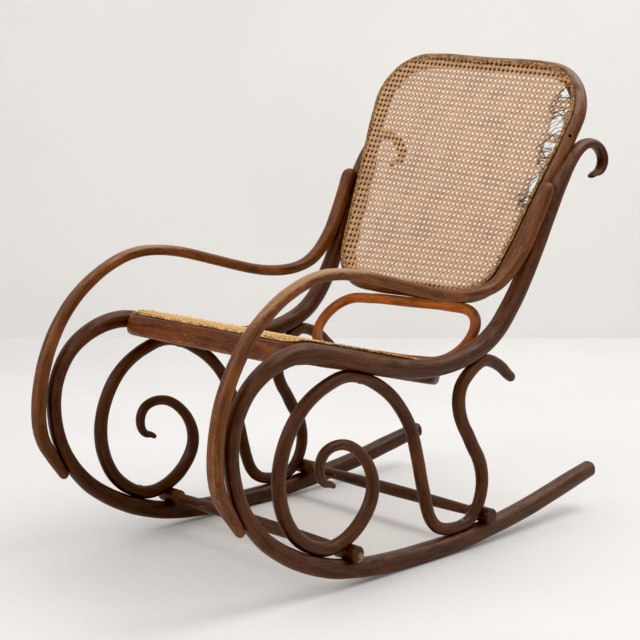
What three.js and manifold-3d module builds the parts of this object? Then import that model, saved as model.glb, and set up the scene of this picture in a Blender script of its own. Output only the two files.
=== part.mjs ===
// Bentwood rocking chair: two looped side frames with curled scroll supports and arms,
// two turned stretchers, a sloping caned seat, a low rear hoop and a reclined caned back.
// Millimetres, +Z up. The front of the chair faces -Y and the sitter's left is +X.
import * as THREE from 'three';
import { mergeVertices } from 'three/addons/utils/BufferGeometryUtils.js';
import Module from 'manifold-3d';

const wasm = await Module();
wasm.setup();

// General fits
const SEAT_GAP = 0.3;          // left between two pieces that are fixed together
const JOINT_BITE = 1.5;        // how deep one rod is let into another where they are fixed

// Side profile, shared by the side frames, arms and scrolls
const PROFILE_LENGTH = 1020;   // foremost centre of the front loop to the end of the tail
const PROFILE_HEIGHT = 762;    // centre of the rocker at its foot to the crest of the hook
const HALF_SPACING = 260;      // middle plane to the centre of each side frame
const POST_SPLAY = 24;         // how far each post leans out at the height of the hook
const TAIL_TOE_IN = 10;        // how far each tail runs inward at its end

// Bentwood rods, as half thicknesses
const FRAME_RADIUS = 18;
const ARM_RADIUS = 14;
const SCROLL_RADIUS = 12.5;
const BACK_RADIUS = 17;
const HOOP_RADIUS = 10.5;

// Rocker
const ROCKER_FRONT_RADIUS = 1600;   // bend of the runner ahead of the foot
const ROCKER_REAR_RADIUS = 1000;    // and behind it
const ROCKER_FRONT_RUN = 214;
const ROCKER_REAR_RUN = 146;
const FOOT_FLAT = 40;          // worn flat that the chair rests on

// Stretchers
const KNOB_RADIUS = 15.5;
const KNOB_LENGTH = 56;
const KNOB_OVERHANG = 25;      // end of the knob past the centre of the side frame
const KNOB_ROUNDING = 3;
const STRETCHER_NECK_RADIUS = 10;
const STRETCHER_BELLY_RADIUS = 13;
const NECK_LENGTH = 9;

// Seat
const SEAT_SLOPE = 14.2;       // degrees, down to the rear
const SEAT_FRONT_REACH = 38;   // front face of the seat frame ahead of where it crosses the rails
const SEAT_DROP = 3;           // middle of the seat frame below the middle of the rails there
const SEAT_LENGTH = 470;       // measured down the slope
const SEAT_RAIL_WIDTH = 27;
const SEAT_RAIL_DEPTH = 40;
const SEAT_RAIL_CHAMFER = 5;
const SEAT_FRONT_CORNER = 28;
const SEAT_REAR_CORNER = 105;
const SEAT_FRONT_BOW = 6;      // how far the middle of the front rail stands ahead of its ends
const SEAT_FOLD = 55;          // front part of the seat, which bends down
const SEAT_DIP = 11;           // how far the front rail has come down

// Rear hoop
const HOOP_HALF_WIDTH = 206;
const HOOP_CORNER = 66;
const HOOP_FOOT_LIFT = 17;     // foot of the hoop above the middle of the seat rail
const HOOP_SKEW = 8;           // rise of the hoop's left side and fall of its right side
const HOOP_TOP_BEARING = 16;   // degrees, from straight under the back rail to the front

// Back
const BACK_RECLINE = 27;       // degrees
const BACK_HALF_HEIGHT = 258;
const BACK_TAPER = 53;         // half width lost from its top rail to its bottom rail
const BACK_LEAD = 11;          // how far it stands ahead of the posts
const BACK_TOP_CORNER = 108;
const BACK_BOTTOM_CORNER = 86;
const BACK_SAG = 19;           // how far the left end of the top rail has dropped below the right

// Cane
const CANE_THICKNESS = 2.4;
const BACK_NET_PITCH = 39;
const SEAT_NET_PITCH = 41;
const NET_STRAND = 15;         // width left between two gaps of a net
const NET_RIM = 9;             // solid border outside the outermost gaps
const NET_OVERLAP = 3;         // how far a net runs out over the middle of its rail
const BINDER_WIDTH = 6;
const BINDER_THICKNESS = 2;

// Facets
const FRAME_SIDES = 12;
const ROD_SIDES = 10;
const TURN_STEP = 12;          // degrees of bend between two sections
const RUN_STEP = 90;           // longest straight between two sections

const rad = THREE.MathUtils.degToRad;

// Places of the profile, as shares of its length and height
const FOOT_SHARE = 0.4965;
const FOOT_HEIGHT = FRAME_RADIUS;
const LOOP_FRONT = -FOOT_SHARE * PROFILE_LENGTH;
const SPLAY_START_SHARE = 0.48;
const SPLAY_FRONT_SHARE = 0.42;
const SPLAY_REAR_SHARE = 0.78;
const TOE_START_SHARE = 0.62;

const placeY = (share) => LOOP_FRONT + share * PROFILE_LENGTH;
const placeZ = (share) => FOOT_HEIGHT + share * PROFILE_HEIGHT;

// How far a side frame stands from the middle plane at a place of its profile
function spacing(y, z) {
  const up = (z - placeZ(SPLAY_START_SHARE)) / (placeZ(1) - placeZ(SPLAY_START_SHARE));
  const back = (y - placeY(SPLAY_FRONT_SHARE)) / (placeY(SPLAY_REAR_SHARE) - placeY(SPLAY_FRONT_SHARE));
  const toe = (y - placeY(TOE_START_SHARE)) / (placeY(1) - placeY(TOE_START_SHARE));
  const lean = THREE.MathUtils.clamp(up, 0, 1) * THREE.MathUtils.clamp(back, 0, 1);
  const low = up < 0 ? THREE.MathUtils.clamp(toe, 0, 1) : 0;
  return HALF_SPACING + POST_SPLAY * lean - TAIL_TOE_IN * low;
}

// A rod's stations: y, z, half thickness in the side plane, half width across it
const station = (y, z, thick, wide = thick) => ({ y, z, thick, wide });

// Side frame from the tip of the hook to the front of the rocker: length share,
// height share, thickness share, width share
const hookToRockerShares = [
  [0.927, 0.9113, 0.16, 0.5],
  [0.954, 0.9204, 0.36, 0.62],
  [0.965, 0.9506, 0.46, 0.68],
  [0.946, 0.9879, 0.5, 0.7],
  [0.907, 1, 0.55, 0.72],
  [0.866, 0.9708, 0.68, 0.78],
  [0.836, 0.9184, 0.84, 0.86],
  [0.791, 0.8004, 0.92, 0.92],
  [0.734, 0.6523, 0.95, 0.95],
  [0.687, 0.5606, 0.97, 0.97],
  [0.647, 0.5122, 0.98, 0.97],
  [0.595, 0.484, 0.98, 0.97],
  [0.526, 0.4668, 0.98, 0.97],
  [0.438, 0.4699, 0.98, 0.97],
  [0.34, 0.4961, 0.98, 0.97],
  [0.242, 0.5354, 0.97, 0.97],
  [0.166, 0.5591, 0.94, 0.97],
  [0.097, 0.5434, 0.86, 0.88],
  [0.042, 0.4991, 0.77, 0.8],
  [0.01, 0.4306, 0.73, 0.76],
  [0, 0.356, 0.72, 0.75],
  [0.008, 0.2784, 0.72, 0.75],
  [0.034, 0.2018, 0.77, 0.78],
  [0.08, 0.1322, 0.86, 0.84],
  [0.139, 0.0813, 0.95, 0.9],
  [0.213, 0.0375, 1, 0.92],
];
const rockerToTailShares = [
  [0.781, 0.0325, 1, 0.92],
  [0.899, 0.0645, 1, 0.92],
  [0.992, 0.087, 0.92, 0.88],
];
const ROCKER_WIDTH_SHARE = 0.92;

function rockerStations() {
  const out = [];
  const runs = [-ROCKER_FRONT_RUN, -ROCKER_FRONT_RUN / 2, 0, 0, ROCKER_REAR_RUN / 2, ROCKER_REAR_RUN];
  runs.forEach((run, i) => {
    const side = i < runs.length / 2 ? -1 : 1;
    const radius = side < 0 ? ROCKER_FRONT_RADIUS : ROCKER_REAR_RADIUS;
    const lift = radius - Math.sqrt(radius ** 2 - run ** 2);
    const y = placeY(FOOT_SHARE) + run + side * FOOT_FLAT / 2;
    out.push(station(y, FOOT_HEIGHT + lift, FRAME_RADIUS, FRAME_RADIUS * ROCKER_WIDTH_SHARE));
  });
  return out;
}

const fromShares = (rows, radius) => rows.map(([along, up, thick, wide]) =>
  station(placeY(along), placeZ(up), thick * radius, (wide ?? thick) * radius));

const frameStations = [
  ...fromShares(hookToRockerShares, FRAME_RADIUS),
  ...rockerStations(),
  ...fromShares(rockerToTailShares, FRAME_RADIUS),
];

// Smooth curve through stations, as y, z and the two half sizes
class Profile {
  constructor(stations) {
    const knots = stations.map((s) => new THREE.Vector3(0, s.y, s.z));
    const sizes = stations.map((s) => new THREE.Vector3(s.thick, s.wide, 0));
    this.count = stations.length;
    this.line = new THREE.CatmullRomCurve3(knots, false, 'centripetal');
    this.sizes = sizes;
  }

  at(share) {
    const p = this.line.getPoint(share);
    const t = this.line.getTangent(share);
    const place = share * (this.count - 1);
    const i = Math.min(Math.floor(place), this.count - 2);
    const s = this.sizes[i].clone().lerp(this.sizes[i + 1], place - i);
    return { y: p.y, z: p.z, ty: t.y, tz: t.z, thick: s.x, wide: s.y };
  }

  // Share of the way along at a station number, which may lie between two
  share(number) {
    return number / (this.count - 1);
  }
}

const frameProfile = new Profile(frameStations);

// Station of a rod of half thickness `radius` that is let into the frame
function against(number, side, radius) {
  const on = frameProfile.at(frameProfile.share(number));
  const reach = side * (on.thick + radius - JOINT_BITE);
  return station(on.y - on.tz * reach, on.z + on.ty * reach, radius);
}

// Arm from its rounded head on the post to its tip on the front loop. The seats are
// station numbers of the side frame.
const POST_FACE = -1;
const headSeatShares = [[6.44, 1.04], [7, 1.06], [7.45, 1]];
const tipSeatShares = [[21.5, 0.86], [22.1, 0.66]];
const armShares = [
  [0.676, 0.6614, 0.92],
  [0.638, 0.6422, 0.86],
  [0.593, 0.6331, 0.82],
  [0.536, 0.6392, 0.79],
  [0.449, 0.6644, 0.77],
  [0.37, 0.6936, 0.76],
  [0.301, 0.7178, 0.76],
  [0.225, 0.7309, 0.77],
  [0.164, 0.7178, 0.79],
  [0.1, 0.6755, 0.83],
  [0.048, 0.622, 0.87],
  [0.009, 0.5495, 0.91],
  [-0.018, 0.4729, 0.94],
  [-0.031, 0.3872, 0.95],
  [-0.0325, 0.3247, 0.94],
  [-0.023, 0.2622, 0.92],
];
const onPost = ([number, thick]) => against(number, POST_FACE, thick * ARM_RADIUS);
const armStations = [
  ...headSeatShares.map(onPost),
  ...fromShares(armShares, ARM_RADIUS),
  ...tipSeatShares.map(onPost),
];

// Scroll support from its tail under the post to the inner end of the spiral
const INNER_FACE = 1;
const underPostSeatShare = [10.5, 0.94];
const onRockerSeatShare = [29.76, 0.9];
const underRailSeatShare = [14.68, 0.93];
const onFrontSeatShare = [24.56, 1.02];
const scrollTailShares = [
  [0.718, 0.398, 0.76],
  [0.703, 0.419, 0.86],
  [0.681, 0.437, 0.92],
];
const scrollDropShares = [
  [0.586, 0.43, 0.98],
  [0.566, 0.4013, 1],
  [0.562, 0.3519, 1.02],
  [0.576, 0.2995, 1],
  [0.602, 0.2491, 1.02],
  [0.6235, 0.2018, 1.04],
  [0.634, 0.1494, 0.98],
  [0.628, 0.0969, 0.94],
  [0.604, 0.0536, 0.9],
];
const scrollRiseShares = [
  [0.505, 0.0551, 0.92],
  [0.477, 0.106, 0.96],
  [0.463, 0.1786, 0.96],
  [0.447, 0.2673, 0.96],
  [0.4225, 0.3479, 0.94],
  [0.381, 0.4159, 0.94],
  [0.33, 0.4618, 0.93],
];
const scrollLoopShares = [
  [0.218, 0.4724, 0.94],
  [0.164, 0.4356, 0.97],
  [0.1245, 0.3691, 1],
  [0.105, 0.2834, 1.02],
  [0.112, 0.2073, 1.02],
  [0.138, 0.1413, 1.02],
];
const scrollCurlShares = [
  [0.242, 0.084, 1],
  [0.293, 0.115, 1.03],
  [0.326, 0.168, 1.02],
  [0.3315, 0.223, 0.92],
  [0.3125, 0.276, 0.82],
  [0.2765, 0.3165, 0.76],
  [0.24, 0.3265, 0.74],
  [0.2085, 0.311, 0.74],
  [0.2, 0.274, 0.7],
  [0.2125, 0.2405, 0.55],
  [0.235, 0.231, 0.36],
];
const insideFrame = ([number, thick]) => against(number, INNER_FACE, thick * SCROLL_RADIUS);
const scrollStations = [
  ...fromShares(scrollTailShares, SCROLL_RADIUS),
  insideFrame(underPostSeatShare),
  ...fromShares(scrollDropShares, SCROLL_RADIUS),
  insideFrame(onRockerSeatShare),
  ...fromShares(scrollRiseShares, SCROLL_RADIUS),
  insideFrame(underRailSeatShare),
  ...fromShares(scrollLoopShares, SCROLL_RADIUS),
  insideFrame(onFrontSeatShare),
  ...fromShares(scrollCurlShares, SCROLL_RADIUS),
];

const armProfile = new Profile(armStations);
const scrollProfile = new Profile(scrollStations);

// Closed skin over rings of points: a rod with ends, or a ring without
function skin(rings, closed, tips = []) {
  const sides = rings[0].length;
  const position = rings.flat().flatMap((p) => [p.x, p.y, p.z]);
  const index = [];
  const spans = closed ? rings.length : rings.length - 1;
  for (let i = 0; i < spans; i += 1) {
    const here = i * sides;
    const next = ((i + 1) % rings.length) * sides;
    for (let j = 0; j < sides; j += 1) {
      const k = (j + 1) % sides;
      index.push(here + j, here + k, next + k, here + j, next + k, next + j);
    }
  }
  if (!closed) {
    const start = rings.length * sides;
    const last = (rings.length - 1) * sides;
    tips.forEach((p) => position.push(p.x, p.y, p.z));
    for (let j = 0; j < sides; j += 1) {
      const k = (j + 1) % sides;
      index.push(start, k, j, start + 1, last + j, last + k);
    }
  }
  const geometry = new THREE.BufferGeometry();
  geometry.setAttribute('position', new THREE.Float32BufferAttribute(position, 3));
  geometry.setIndex(index);
  return geometry;
}

// Polygon round a centre whose flats lie at the two half sizes
function ring(centre, across, along, sides, thick, wide) {
  const corner = 1 / Math.cos(Math.PI / sides);
  return Array.from({ length: sides }, (_, i) => {
    const turn = ((i + 0.5) / sides) * 2 * Math.PI;
    return centre.clone()
      .addScaledVector(across, Math.cos(turn) * thick * corner)
      .addScaledVector(along, Math.sin(turn) * wide * corner);
  });
}

// Shares of the way along a profile at which its sections stand
function sectionShares(profile) {
  const shares = [0];
  for (let i = 0; i < profile.count - 1; i += 1) {
    const a = profile.at(profile.share(i));
    const b = profile.at(profile.share(i + 1));
    const bend = THREE.MathUtils.radToDeg(Math.acos(Math.min(1, a.ty * b.ty + a.tz * b.tz)));
    const run = Math.hypot(a.y - b.y, a.z - b.z);
    const steps = Math.max(1, Math.round(bend / TURN_STEP), Math.ceil(run / RUN_STEP));
    for (let j = 1; j <= steps; j += 1) {
      shares.push(profile.share(i + j / steps));
    }
  }
  return shares;
}

const DOME_TURNS = [35, 65];   // degrees round a domed end

// Rod that follows a profile on one side of the chair, with a dome at each end. `grow`
// gives the shape that clears it.
function profileRod(profile, side, sides, domeShares, grow = 0) {
  const stations = sectionShares(profile).map((share) => {
    const s = profile.at(share);
    const centre = new THREE.Vector3(side * spacing(s.y, s.z), s.y, s.z);
    return { centre, thick: s.thick + grow, wide: s.wide + grow };
  });
  const last = stations.length - 1;
  stations.forEach((s, i) => {
    const before = stations[Math.max(i - 1, 0)].centre;
    const after = stations[Math.min(i + 1, last)].centre;
    s.forward = after.clone().sub(before).normalize();
    s.across = new THREE.Vector3(1, 0, 0).addScaledVector(s.forward, -s.forward.x).normalize();
    s.up = s.forward.clone().cross(s.across);
  });
  const section = (s, reach, shrink) =>
    ring(s.centre.clone().addScaledVector(s.forward, reach), s.across, s.up, sides,
      s.wide * shrink, s.thick * shrink);
  const dome = (s, reach) => DOME_TURNS.map((turn) =>
    section(s, reach * Math.sin(rad(turn)), Math.cos(rad(turn))));
  const first = stations[0];
  const end = stations[last];
  const startReach = -domeShares[0] * first.thick;
  const endReach = domeShares[1] * end.thick;
  const rings = [
    ...dome(first, startReach).reverse(),
    ...stations.map((s) => section(s, 0, 1)),
    ...dome(end, endReach),
  ];
  const tips = [
    first.centre.clone().addScaledVector(first.forward, startReach),
    end.centre.clone().addScaledVector(end.forward, endReach),
  ];
  return skin(rings, false, tips);
}

// Flat plane that a closed loop or a net lies in
class Plane {
  constructor(origin, u, v) {
    this.origin = origin;
    this.u = u;
    this.v = v;
    this.n = u.clone().cross(v);
  }

  at(u, v, lift = 0) {
    return this.origin.clone()
      .addScaledVector(this.u, u)
      .addScaledVector(this.v, v)
      .addScaledVector(this.n, lift);
  }

  matrix(lift) {
    const m = new THREE.Matrix4().makeBasis(this.u, this.v, this.n);
    return m.setPosition(this.at(0, 0, lift));
  }
}

// Rounded trapezoid, symmetrical about v, from the right side of its top corner round
function roundedOutline({ top, bottom, half, topCorner, bottomCorner, steps }) {
  const corners = [
    [top - topCorner, half - topCorner, topCorner, 0],
    [-top + topCorner, half - topCorner, topCorner, 90],
    [-bottom + bottomCorner, -half + bottomCorner, bottomCorner, 180],
    [bottom - bottomCorner, -half + bottomCorner, bottomCorner, 270],
  ];
  return corners.flatMap(([u, v, radius, start]) =>
    Array.from({ length: steps + 1 }, (_, i) => {
      const turn = rad(start + (90 * i) / steps);
      return new THREE.Vector2(u + radius * Math.cos(turn), v + radius * Math.sin(turn));
    }));
}

// Closed rod along an outline in a plane. `section` gives the points of its section
// from its centre and the outward direction.
function loopRod(outline, plane, section, lift = 0, drop = () => 0) {
  const rings = outline.map((p, i) => {
    const before = outline[(i + outline.length - 1) % outline.length];
    const after = outline[(i + 1) % outline.length];
    const t = after.clone().sub(before).normalize();
    const outward = plane.u.clone().multiplyScalar(t.y).addScaledVector(plane.v, -t.x);
    return section(plane.at(p.x, p.y, lift), outward).map((point) =>
      point.addScaledVector(plane.n, -drop(plane.v.dot(point.clone().sub(plane.origin)))));
  });
  return skin(rings, true);
}

const roundSection = (plane, radius, sides) => (centre, outward) =>
  ring(centre, plane.n, outward, sides, radius, radius);

// Section with flat faces and chamfered edges
const flatSection = (plane, width, depth, chamfer) => (centre, outward) => {
  const w = width / 2;
  const d = depth / 2;
  const corners = [
    [w, d - chamfer], [w, -d + chamfer], [w - chamfer, -d], [-w + chamfer, -d],
    [-w, -d + chamfer], [-w, d - chamfer], [-w + chamfer, d], [w - chamfer, d],
  ];
  return corners.map(([a, b]) =>
    centre.clone().addScaledVector(outward, a).addScaledVector(plane.n, b));
};

const WELD_SHARE = 0.001;      // of the seat gap, within which two corners are one

// One closed skin without doubled points or empty facets
function weld(geometry) {
  const bare = geometry.clone();
  bare.deleteAttribute('normal');
  bare.deleteAttribute('uv');
  const merged = mergeVertices(bare, WELD_SHARE * SEAT_GAP);
  const corners = Array.from(merged.index.array);
  const kept = corners.filter((_, i) => {
    const [a, b, c] = corners.slice(i - (i % 3), i - (i % 3) + 3);
    return a !== b && b !== c && c !== a;
  });
  merged.setIndex(kept);
  return merged;
}

// Solids for cuts
function toSolid(geometry) {
  const closed = weld(geometry);
  return new wasm.Manifold(new wasm.Mesh({
    numProp: 3,
    vertProperties: Float32Array.from(closed.attributes.position.array),
    triVerts: Uint32Array.from(closed.index.array),
  }));
}

function toGeometry(solid) {
  const mesh = solid.getMesh();
  const geometry = new THREE.BufferGeometry();
  geometry.setAttribute('position', new THREE.BufferAttribute(Float32Array.from(mesh.vertProperties), 3));
  geometry.setIndex(new THREE.BufferAttribute(Uint32Array.from(mesh.triVerts), 1));
  return geometry;
}

// A piece with the seats of its neighbours carved out
function carve(geometry, neighbours) {
  return toGeometry(neighbours.reduce((solid, other) => solid.subtract(toSolid(other)), toSolid(geometry)));
}

// Lengths of the two domed ends of each rod, as shares of the half thickness there
const frameDomeShares = [0.6, 0.35];
const armDomeShares = [0.9, 0.8];
const scrollDomeShares = [0.8, 0.8];

const frameRod = (side, grow) => profileRod(frameProfile, side, FRAME_SIDES, frameDomeShares, grow);
const armRod = (side, grow) => profileRod(armProfile, side, FRAME_SIDES, armDomeShares, grow);
const scrollRod = (side, grow) => profileRod(scrollProfile, side, ROD_SIDES, scrollDomeShares, grow);

// Seat plane, hung on the side rails where it crosses their centre
const SEAT_CROSSING_SHARE = 15.8;   // station number of the side frame
const CORNER_STEPS = 9;
const right = new THREE.Vector3(1, 0, 0);
const crossing = frameProfile.at(frameProfile.share(SEAT_CROSSING_SHARE));
const slope = rad(SEAT_SLOPE);
const seatV = new THREE.Vector3(0, Math.cos(slope), -Math.sin(slope));
const seatMiddle = new THREE.Vector3(0, crossing.y, crossing.z)
  .addScaledVector(seatV, SEAT_LENGTH / 2 - SEAT_FRONT_REACH)
  .addScaledVector(right.clone().cross(seatV), -SEAT_DROP);
const seatPlane = new Plane(seatMiddle, right, seatV);
const seatHalfWidth = HALF_SPACING - crossing.wide - SEAT_GAP;

// The front rail bows forward
function bowed(p) {
  const bow = 1 - (p.x / seatHalfWidth) ** 2;
  return new THREE.Vector2(p.x, p.y - (SEAT_FRONT_BOW * bow * (1 - (2 * p.y) / SEAT_LENGTH)) / 2);
}

// The front of the seat folds down along a line across it
const foldLine = SEAT_FOLD - SEAT_LENGTH / 2;
const foldSlope = SEAT_DIP / SEAT_FOLD;
const dip = (v) => Math.max(0, foldLine - v) * foldSlope;

// The same outline with a point wherever it crosses the fold
function withFold(outline) {
  return outline.flatMap((a, i) => {
    const b = outline[(i + 1) % outline.length];
    const share = (foldLine - a.y) / (b.y - a.y);
    return share > 0 && share < 1 ? [a, a.clone().lerp(b, share)] : [a];
  });
}

// A flat sheet in its own plane, folded in the same way
function folded(sheet) {
  const [rear, front] = toSolid(sheet).splitByPlane([0, 1, 0], foldLine);
  const lowered = front.warp((place) => {
    place[2] -= dip(place[1]);
  });
  return toGeometry(rear.add(lowered));
}

// Outline of the seat `inset` inside its outer face, before its bow; v grows to the rear
const seatOutline = (inset) => roundedOutline({
  top: seatHalfWidth - inset,
  bottom: seatHalfWidth - inset,
  half: SEAT_LENGTH / 2 - inset,
  topCorner: SEAT_REAR_CORNER - inset,
  bottomCorner: SEAT_FRONT_CORNER - inset,
  steps: CORNER_STEPS,
});

function seatRing(grow = 0) {
  const section = flatSection(seatPlane, SEAT_RAIL_WIDTH + 2 * grow, SEAT_RAIL_DEPTH + 2 * grow,
    SEAT_RAIL_CHAMFER);
  return loopRod(withFold(seatOutline(SEAT_RAIL_WIDTH / 2).map(bowed)), seatPlane, section, 0, dip);
}

// Back plane, held between the two posts at the root of the hooks
const BACK_SEAT_SHARE = 5.55;       // station number of the side frame
const BACK_SEAT_RISE_SHARE = 0.159; // that seat above the middle of the back
const postSeat = frameProfile.at(frameProfile.share(BACK_SEAT_SHARE));
const recline = rad(BACK_RECLINE);
const backV = new THREE.Vector3(0, Math.sin(recline), Math.cos(recline));
const backN = right.clone().cross(backV);
const backMiddle = new THREE.Vector3(0, postSeat.y, postSeat.z)
  .addScaledVector(backV, -BACK_SEAT_RISE_SHARE * BACK_HALF_HEIGHT)
  .addScaledVector(backN, BACK_LEAD);
const backPlane = new Plane(backMiddle, right, backV);

// Half widths of the back, to the middle of its rod
const backToPost = postSeat.wide + BACK_RADIUS - JOINT_BITE;
const backAtPosts = spacing(postSeat.y, postSeat.z) - Math.sqrt(backToPost ** 2 - BACK_LEAD ** 2);
const backBottom = backAtPosts - (BACK_TAPER * (1 + BACK_SEAT_RISE_SHARE)) / 2;
const backTop = backBottom + BACK_TAPER;

// The top of the back has sagged to the left
function sagged(p) {
  const drop = (BACK_SAG * (p.x / backTop) * (p.y / BACK_HALF_HEIGHT + 1)) / 2;
  return new THREE.Vector2(p.x, p.y - drop);
}

// Outline of the back `inset` inside the middle of its rod, before it sagged
const backOutline = (inset) => roundedOutline({
  top: backTop - inset,
  bottom: backBottom - inset,
  half: BACK_HALF_HEIGHT - inset,
  topCorner: BACK_TOP_CORNER - inset,
  bottomCorner: BACK_BOTTOM_CORNER - inset,
  steps: CORNER_STEPS,
});

const backRing = (grow = 0) =>
  loopRod(backOutline(0).map(sagged), backPlane, roundSection(backPlane, BACK_RADIUS + grow, FRAME_SIDES));

// Rear hoop, from the rear rail of the seat up to the bottom rail of the back
const backFoot = backPlane.at(0, -BACK_HALF_HEIGHT);
const bearing = rad(HOOP_TOP_BEARING);
const hoopSkew = (x) => (HOOP_SKEW * x) / HOOP_HALF_WIDTH;
const hoopTop = new THREE.Vector3(0, -Math.sin(bearing), -Math.cos(bearing))
  .multiplyScalar(BACK_RADIUS + HOOP_RADIUS - JOINT_BITE)
  .add(backFoot)
  .addScaledVector(backV, -hoopSkew(HOOP_HALF_WIDTH - HOOP_CORNER));
const hoopFoot = seatPlane.at(0, SEAT_LENGTH / 2 + HOOP_RADIUS - JOINT_BITE, HOOP_FOOT_LIFT);
const hoopRise = hoopTop.clone().sub(hoopFoot);
const hoopPlane = new Plane(hoopFoot.clone().lerp(hoopTop, 1 / 2), right, hoopRise.clone().normalize());

function hoopRing() {
  const outline = roundedOutline({
    top: HOOP_HALF_WIDTH,
    bottom: HOOP_HALF_WIDTH,
    half: hoopRise.length() / 2,
    topCorner: HOOP_CORNER,
    bottomCorner: HOOP_CORNER,
    steps: CORNER_STEPS,
  }).map((p) => new THREE.Vector2(p.x, p.y + hoopSkew(p.x)));
  return loopRod(outline, hoopPlane, roundSection(hoopPlane, HOOP_RADIUS, ROD_SIDES));
}

// How far inside a convex outline a point lies, negative outside it
function depthInside(outline, p) {
  const depths = outline.map((a, i) => {
    const b = outline[(i + 1) % outline.length];
    const run = Math.max(a.distanceTo(b), Number.EPSILON);
    return ((b.x - a.x) * (p.y - a.y) - (b.y - a.y) * (p.x - a.x)) / run;
  });
  return Math.min(...depths);
}

const CUTTER_SHARE = 3;        // height of a gap's cutter, as a share of the sheet's thickness

// Flat open net inside an outline: a sheet with square gaps on a square grid
function net(outline, pitch, bend) {
  const half = (pitch - NET_STRAND) / 2;
  const corners = [[half, half], [-half, half], [-half, -half], [half, -half]];
  const reach = Math.ceil(PROFILE_HEIGHT / 2 / pitch);
  const gaps = [];
  for (let i = -reach; i <= reach; i += 1) {
    for (let j = -reach; j <= reach; j += 1) {
      const gap = corners.map(([a, b]) => new THREE.Vector2(i * pitch + a, j * pitch + b));
      if (gap.every((p) => depthInside(outline, p) > NET_RIM)) {
        gaps.push(new THREE.Shape(gap.map(bend)));
      }
    }
  }
  const flat = { depth: CANE_THICKNESS, bevelEnabled: false };
  const sheet = new THREE.ExtrudeGeometry(new THREE.Shape(outline.map(bend)), flat);
  const cutters = new THREE.ExtrudeGeometry(gaps, flat);
  cutters.translate(0, 0, -CANE_THICKNESS / 2);
  cutters.scale(1, 1, CUTTER_SHARE);
  return carve(sheet, [cutters]);
}

// Flat cane strip that covers the edge of a net
function binder(outline, plane, lift, drop) {
  const section = (centre, outward) => [[1, 1], [1, -1], [-1, -1], [-1, 1]].map(([a, b]) =>
    centre.clone()
      .addScaledVector(outward, (a * BINDER_WIDTH) / 2)
      .addScaledVector(plane.n, (b * BINDER_THICKNESS) / 2));
  return loopRod(outline, plane, section, lift + BINDER_THICKNESS / 2, drop);
}

const NESTLE_TURNS = 60;
const NESTLE_SAMPLES = 200;

// Place beside a side frame and its scroll where a knob touches both, from a first guess
// and the stations of both rods between which it lies
function nestle([along, up], frameStretch, scrollStretch) {
  const rods = [[frameProfile, frameStretch], [scrollProfile, scrollStretch]];
  let place = { y: placeY(along), z: placeZ(up) };
  for (let turn = 0; turn < NESTLE_TURNS; turn += 1) {
    rods.forEach(([profile, [from, to]]) => {
      const samples = Array.from({ length: NESTLE_SAMPLES + 1 }, (_, i) =>
        profile.at(profile.share(from + ((to - from) * i) / NESTLE_SAMPLES)));
      const distance = (s) => Math.hypot(place.y - s.y, place.z - s.z);
      const on = samples.reduce((a, b) => (distance(b) < distance(a) ? b : a));
      const scale = (on.thick + KNOB_RADIUS - JOINT_BITE) / distance(on);
      place = { y: on.y + (place.y - on.y) * scale, z: on.z + (place.z - on.z) * scale };
    });
  }
  return place;
}

const KNOB_SIDES = 16;
const BELLY_SHARES = [1, 0.75, 0.5, 0.25];

// Turned stretcher across the chair with a knob at each end
function stretcher(place) {
  const end = spacing(place.y, place.z) + KNOB_OVERHANG;
  const knob = end - KNOB_LENGTH;
  const neck = knob - NECK_LENGTH;
  const belly = (share) => STRETCHER_NECK_RADIUS
    + (STRETCHER_BELLY_RADIUS - STRETCHER_NECK_RADIUS) * Math.cos((share * Math.PI) / 2);
  const half = [
    [0, end],
    [KNOB_RADIUS - KNOB_ROUNDING, end],
    [KNOB_RADIUS, end - KNOB_ROUNDING],
    [KNOB_RADIUS, knob + KNOB_ROUNDING],
    [KNOB_RADIUS - KNOB_ROUNDING, knob],
    ...BELLY_SHARES.map((share) => [belly(share), share * neck]),
  ];
  const outline = [
    ...half.map(([r, x]) => new THREE.Vector2(r, -x)),
    new THREE.Vector2(STRETCHER_BELLY_RADIUS, 0),
    ...half.reverse().map(([r, x]) => new THREE.Vector2(r, x)),
  ];
  const turned = new THREE.LatheGeometry(outline, KNOB_SIDES);
  turned.rotateZ(-Math.PI / 2);
  return turned.translate(0, place.y, place.z);
}

// Places of the two stretchers, each between the rocker and the scroll support: the first
// guess, then the station numbers on the side frame and on the scroll
const frontGuessShare = [0.29, 0.07];
const frontOnFrameShare = [24, 28];
const frontOnScrollShare = [28, 30];
const rearGuessShare = [0.645, 0.06];
const rearOnFrameShare = [29, 32];
const rearOnScrollShare = [9.5, 13];
const frontPlace = nestle(frontGuessShare, frontOnFrameShare, frontOnScrollShare);
const rearPlace = nestle(rearGuessShare, rearOnFrameShare, rearOnScrollShare);

const group = new THREE.Group();
group.name = 'bentwood_rocking_chair';

function addPiece(name, geometry, color, roughness) {
  const closed = weld(geometry);
  const piece = new THREE.Mesh(closed, new THREE.MeshStandardMaterial({ color, roughness }));
  closed.computeVertexNormals();
  piece.name = name;
  group.add(piece);
}

const WOOD_COLOR = 0x4a2817;
const WORN_COLOR = 0x6b3d20;
const CANE_COLOR = 0xc49a5a;
const BINDER_COLOR = 0xb08445;
const WOOD_ROUGHNESS = 0.45;
const CANE_ROUGHNESS = 0.6;

[[1, 'left'], [-1, 'right']].forEach(([side, label]) => {
  const seat = frameRod(side, SEAT_GAP);
  const frame = carve(frameRod(side), [backRing(SEAT_GAP)]);
  addPiece(`side_frame_${label}`, frame, WOOD_COLOR, WOOD_ROUGHNESS);
  addPiece(`arm_${label}`, carve(armRod(side), [seat]), WORN_COLOR, WOOD_ROUGHNESS);
  addPiece(`scroll_${label}`, carve(scrollRod(side), [seat]), WOOD_COLOR, WOOD_ROUGHNESS);
});

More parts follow.
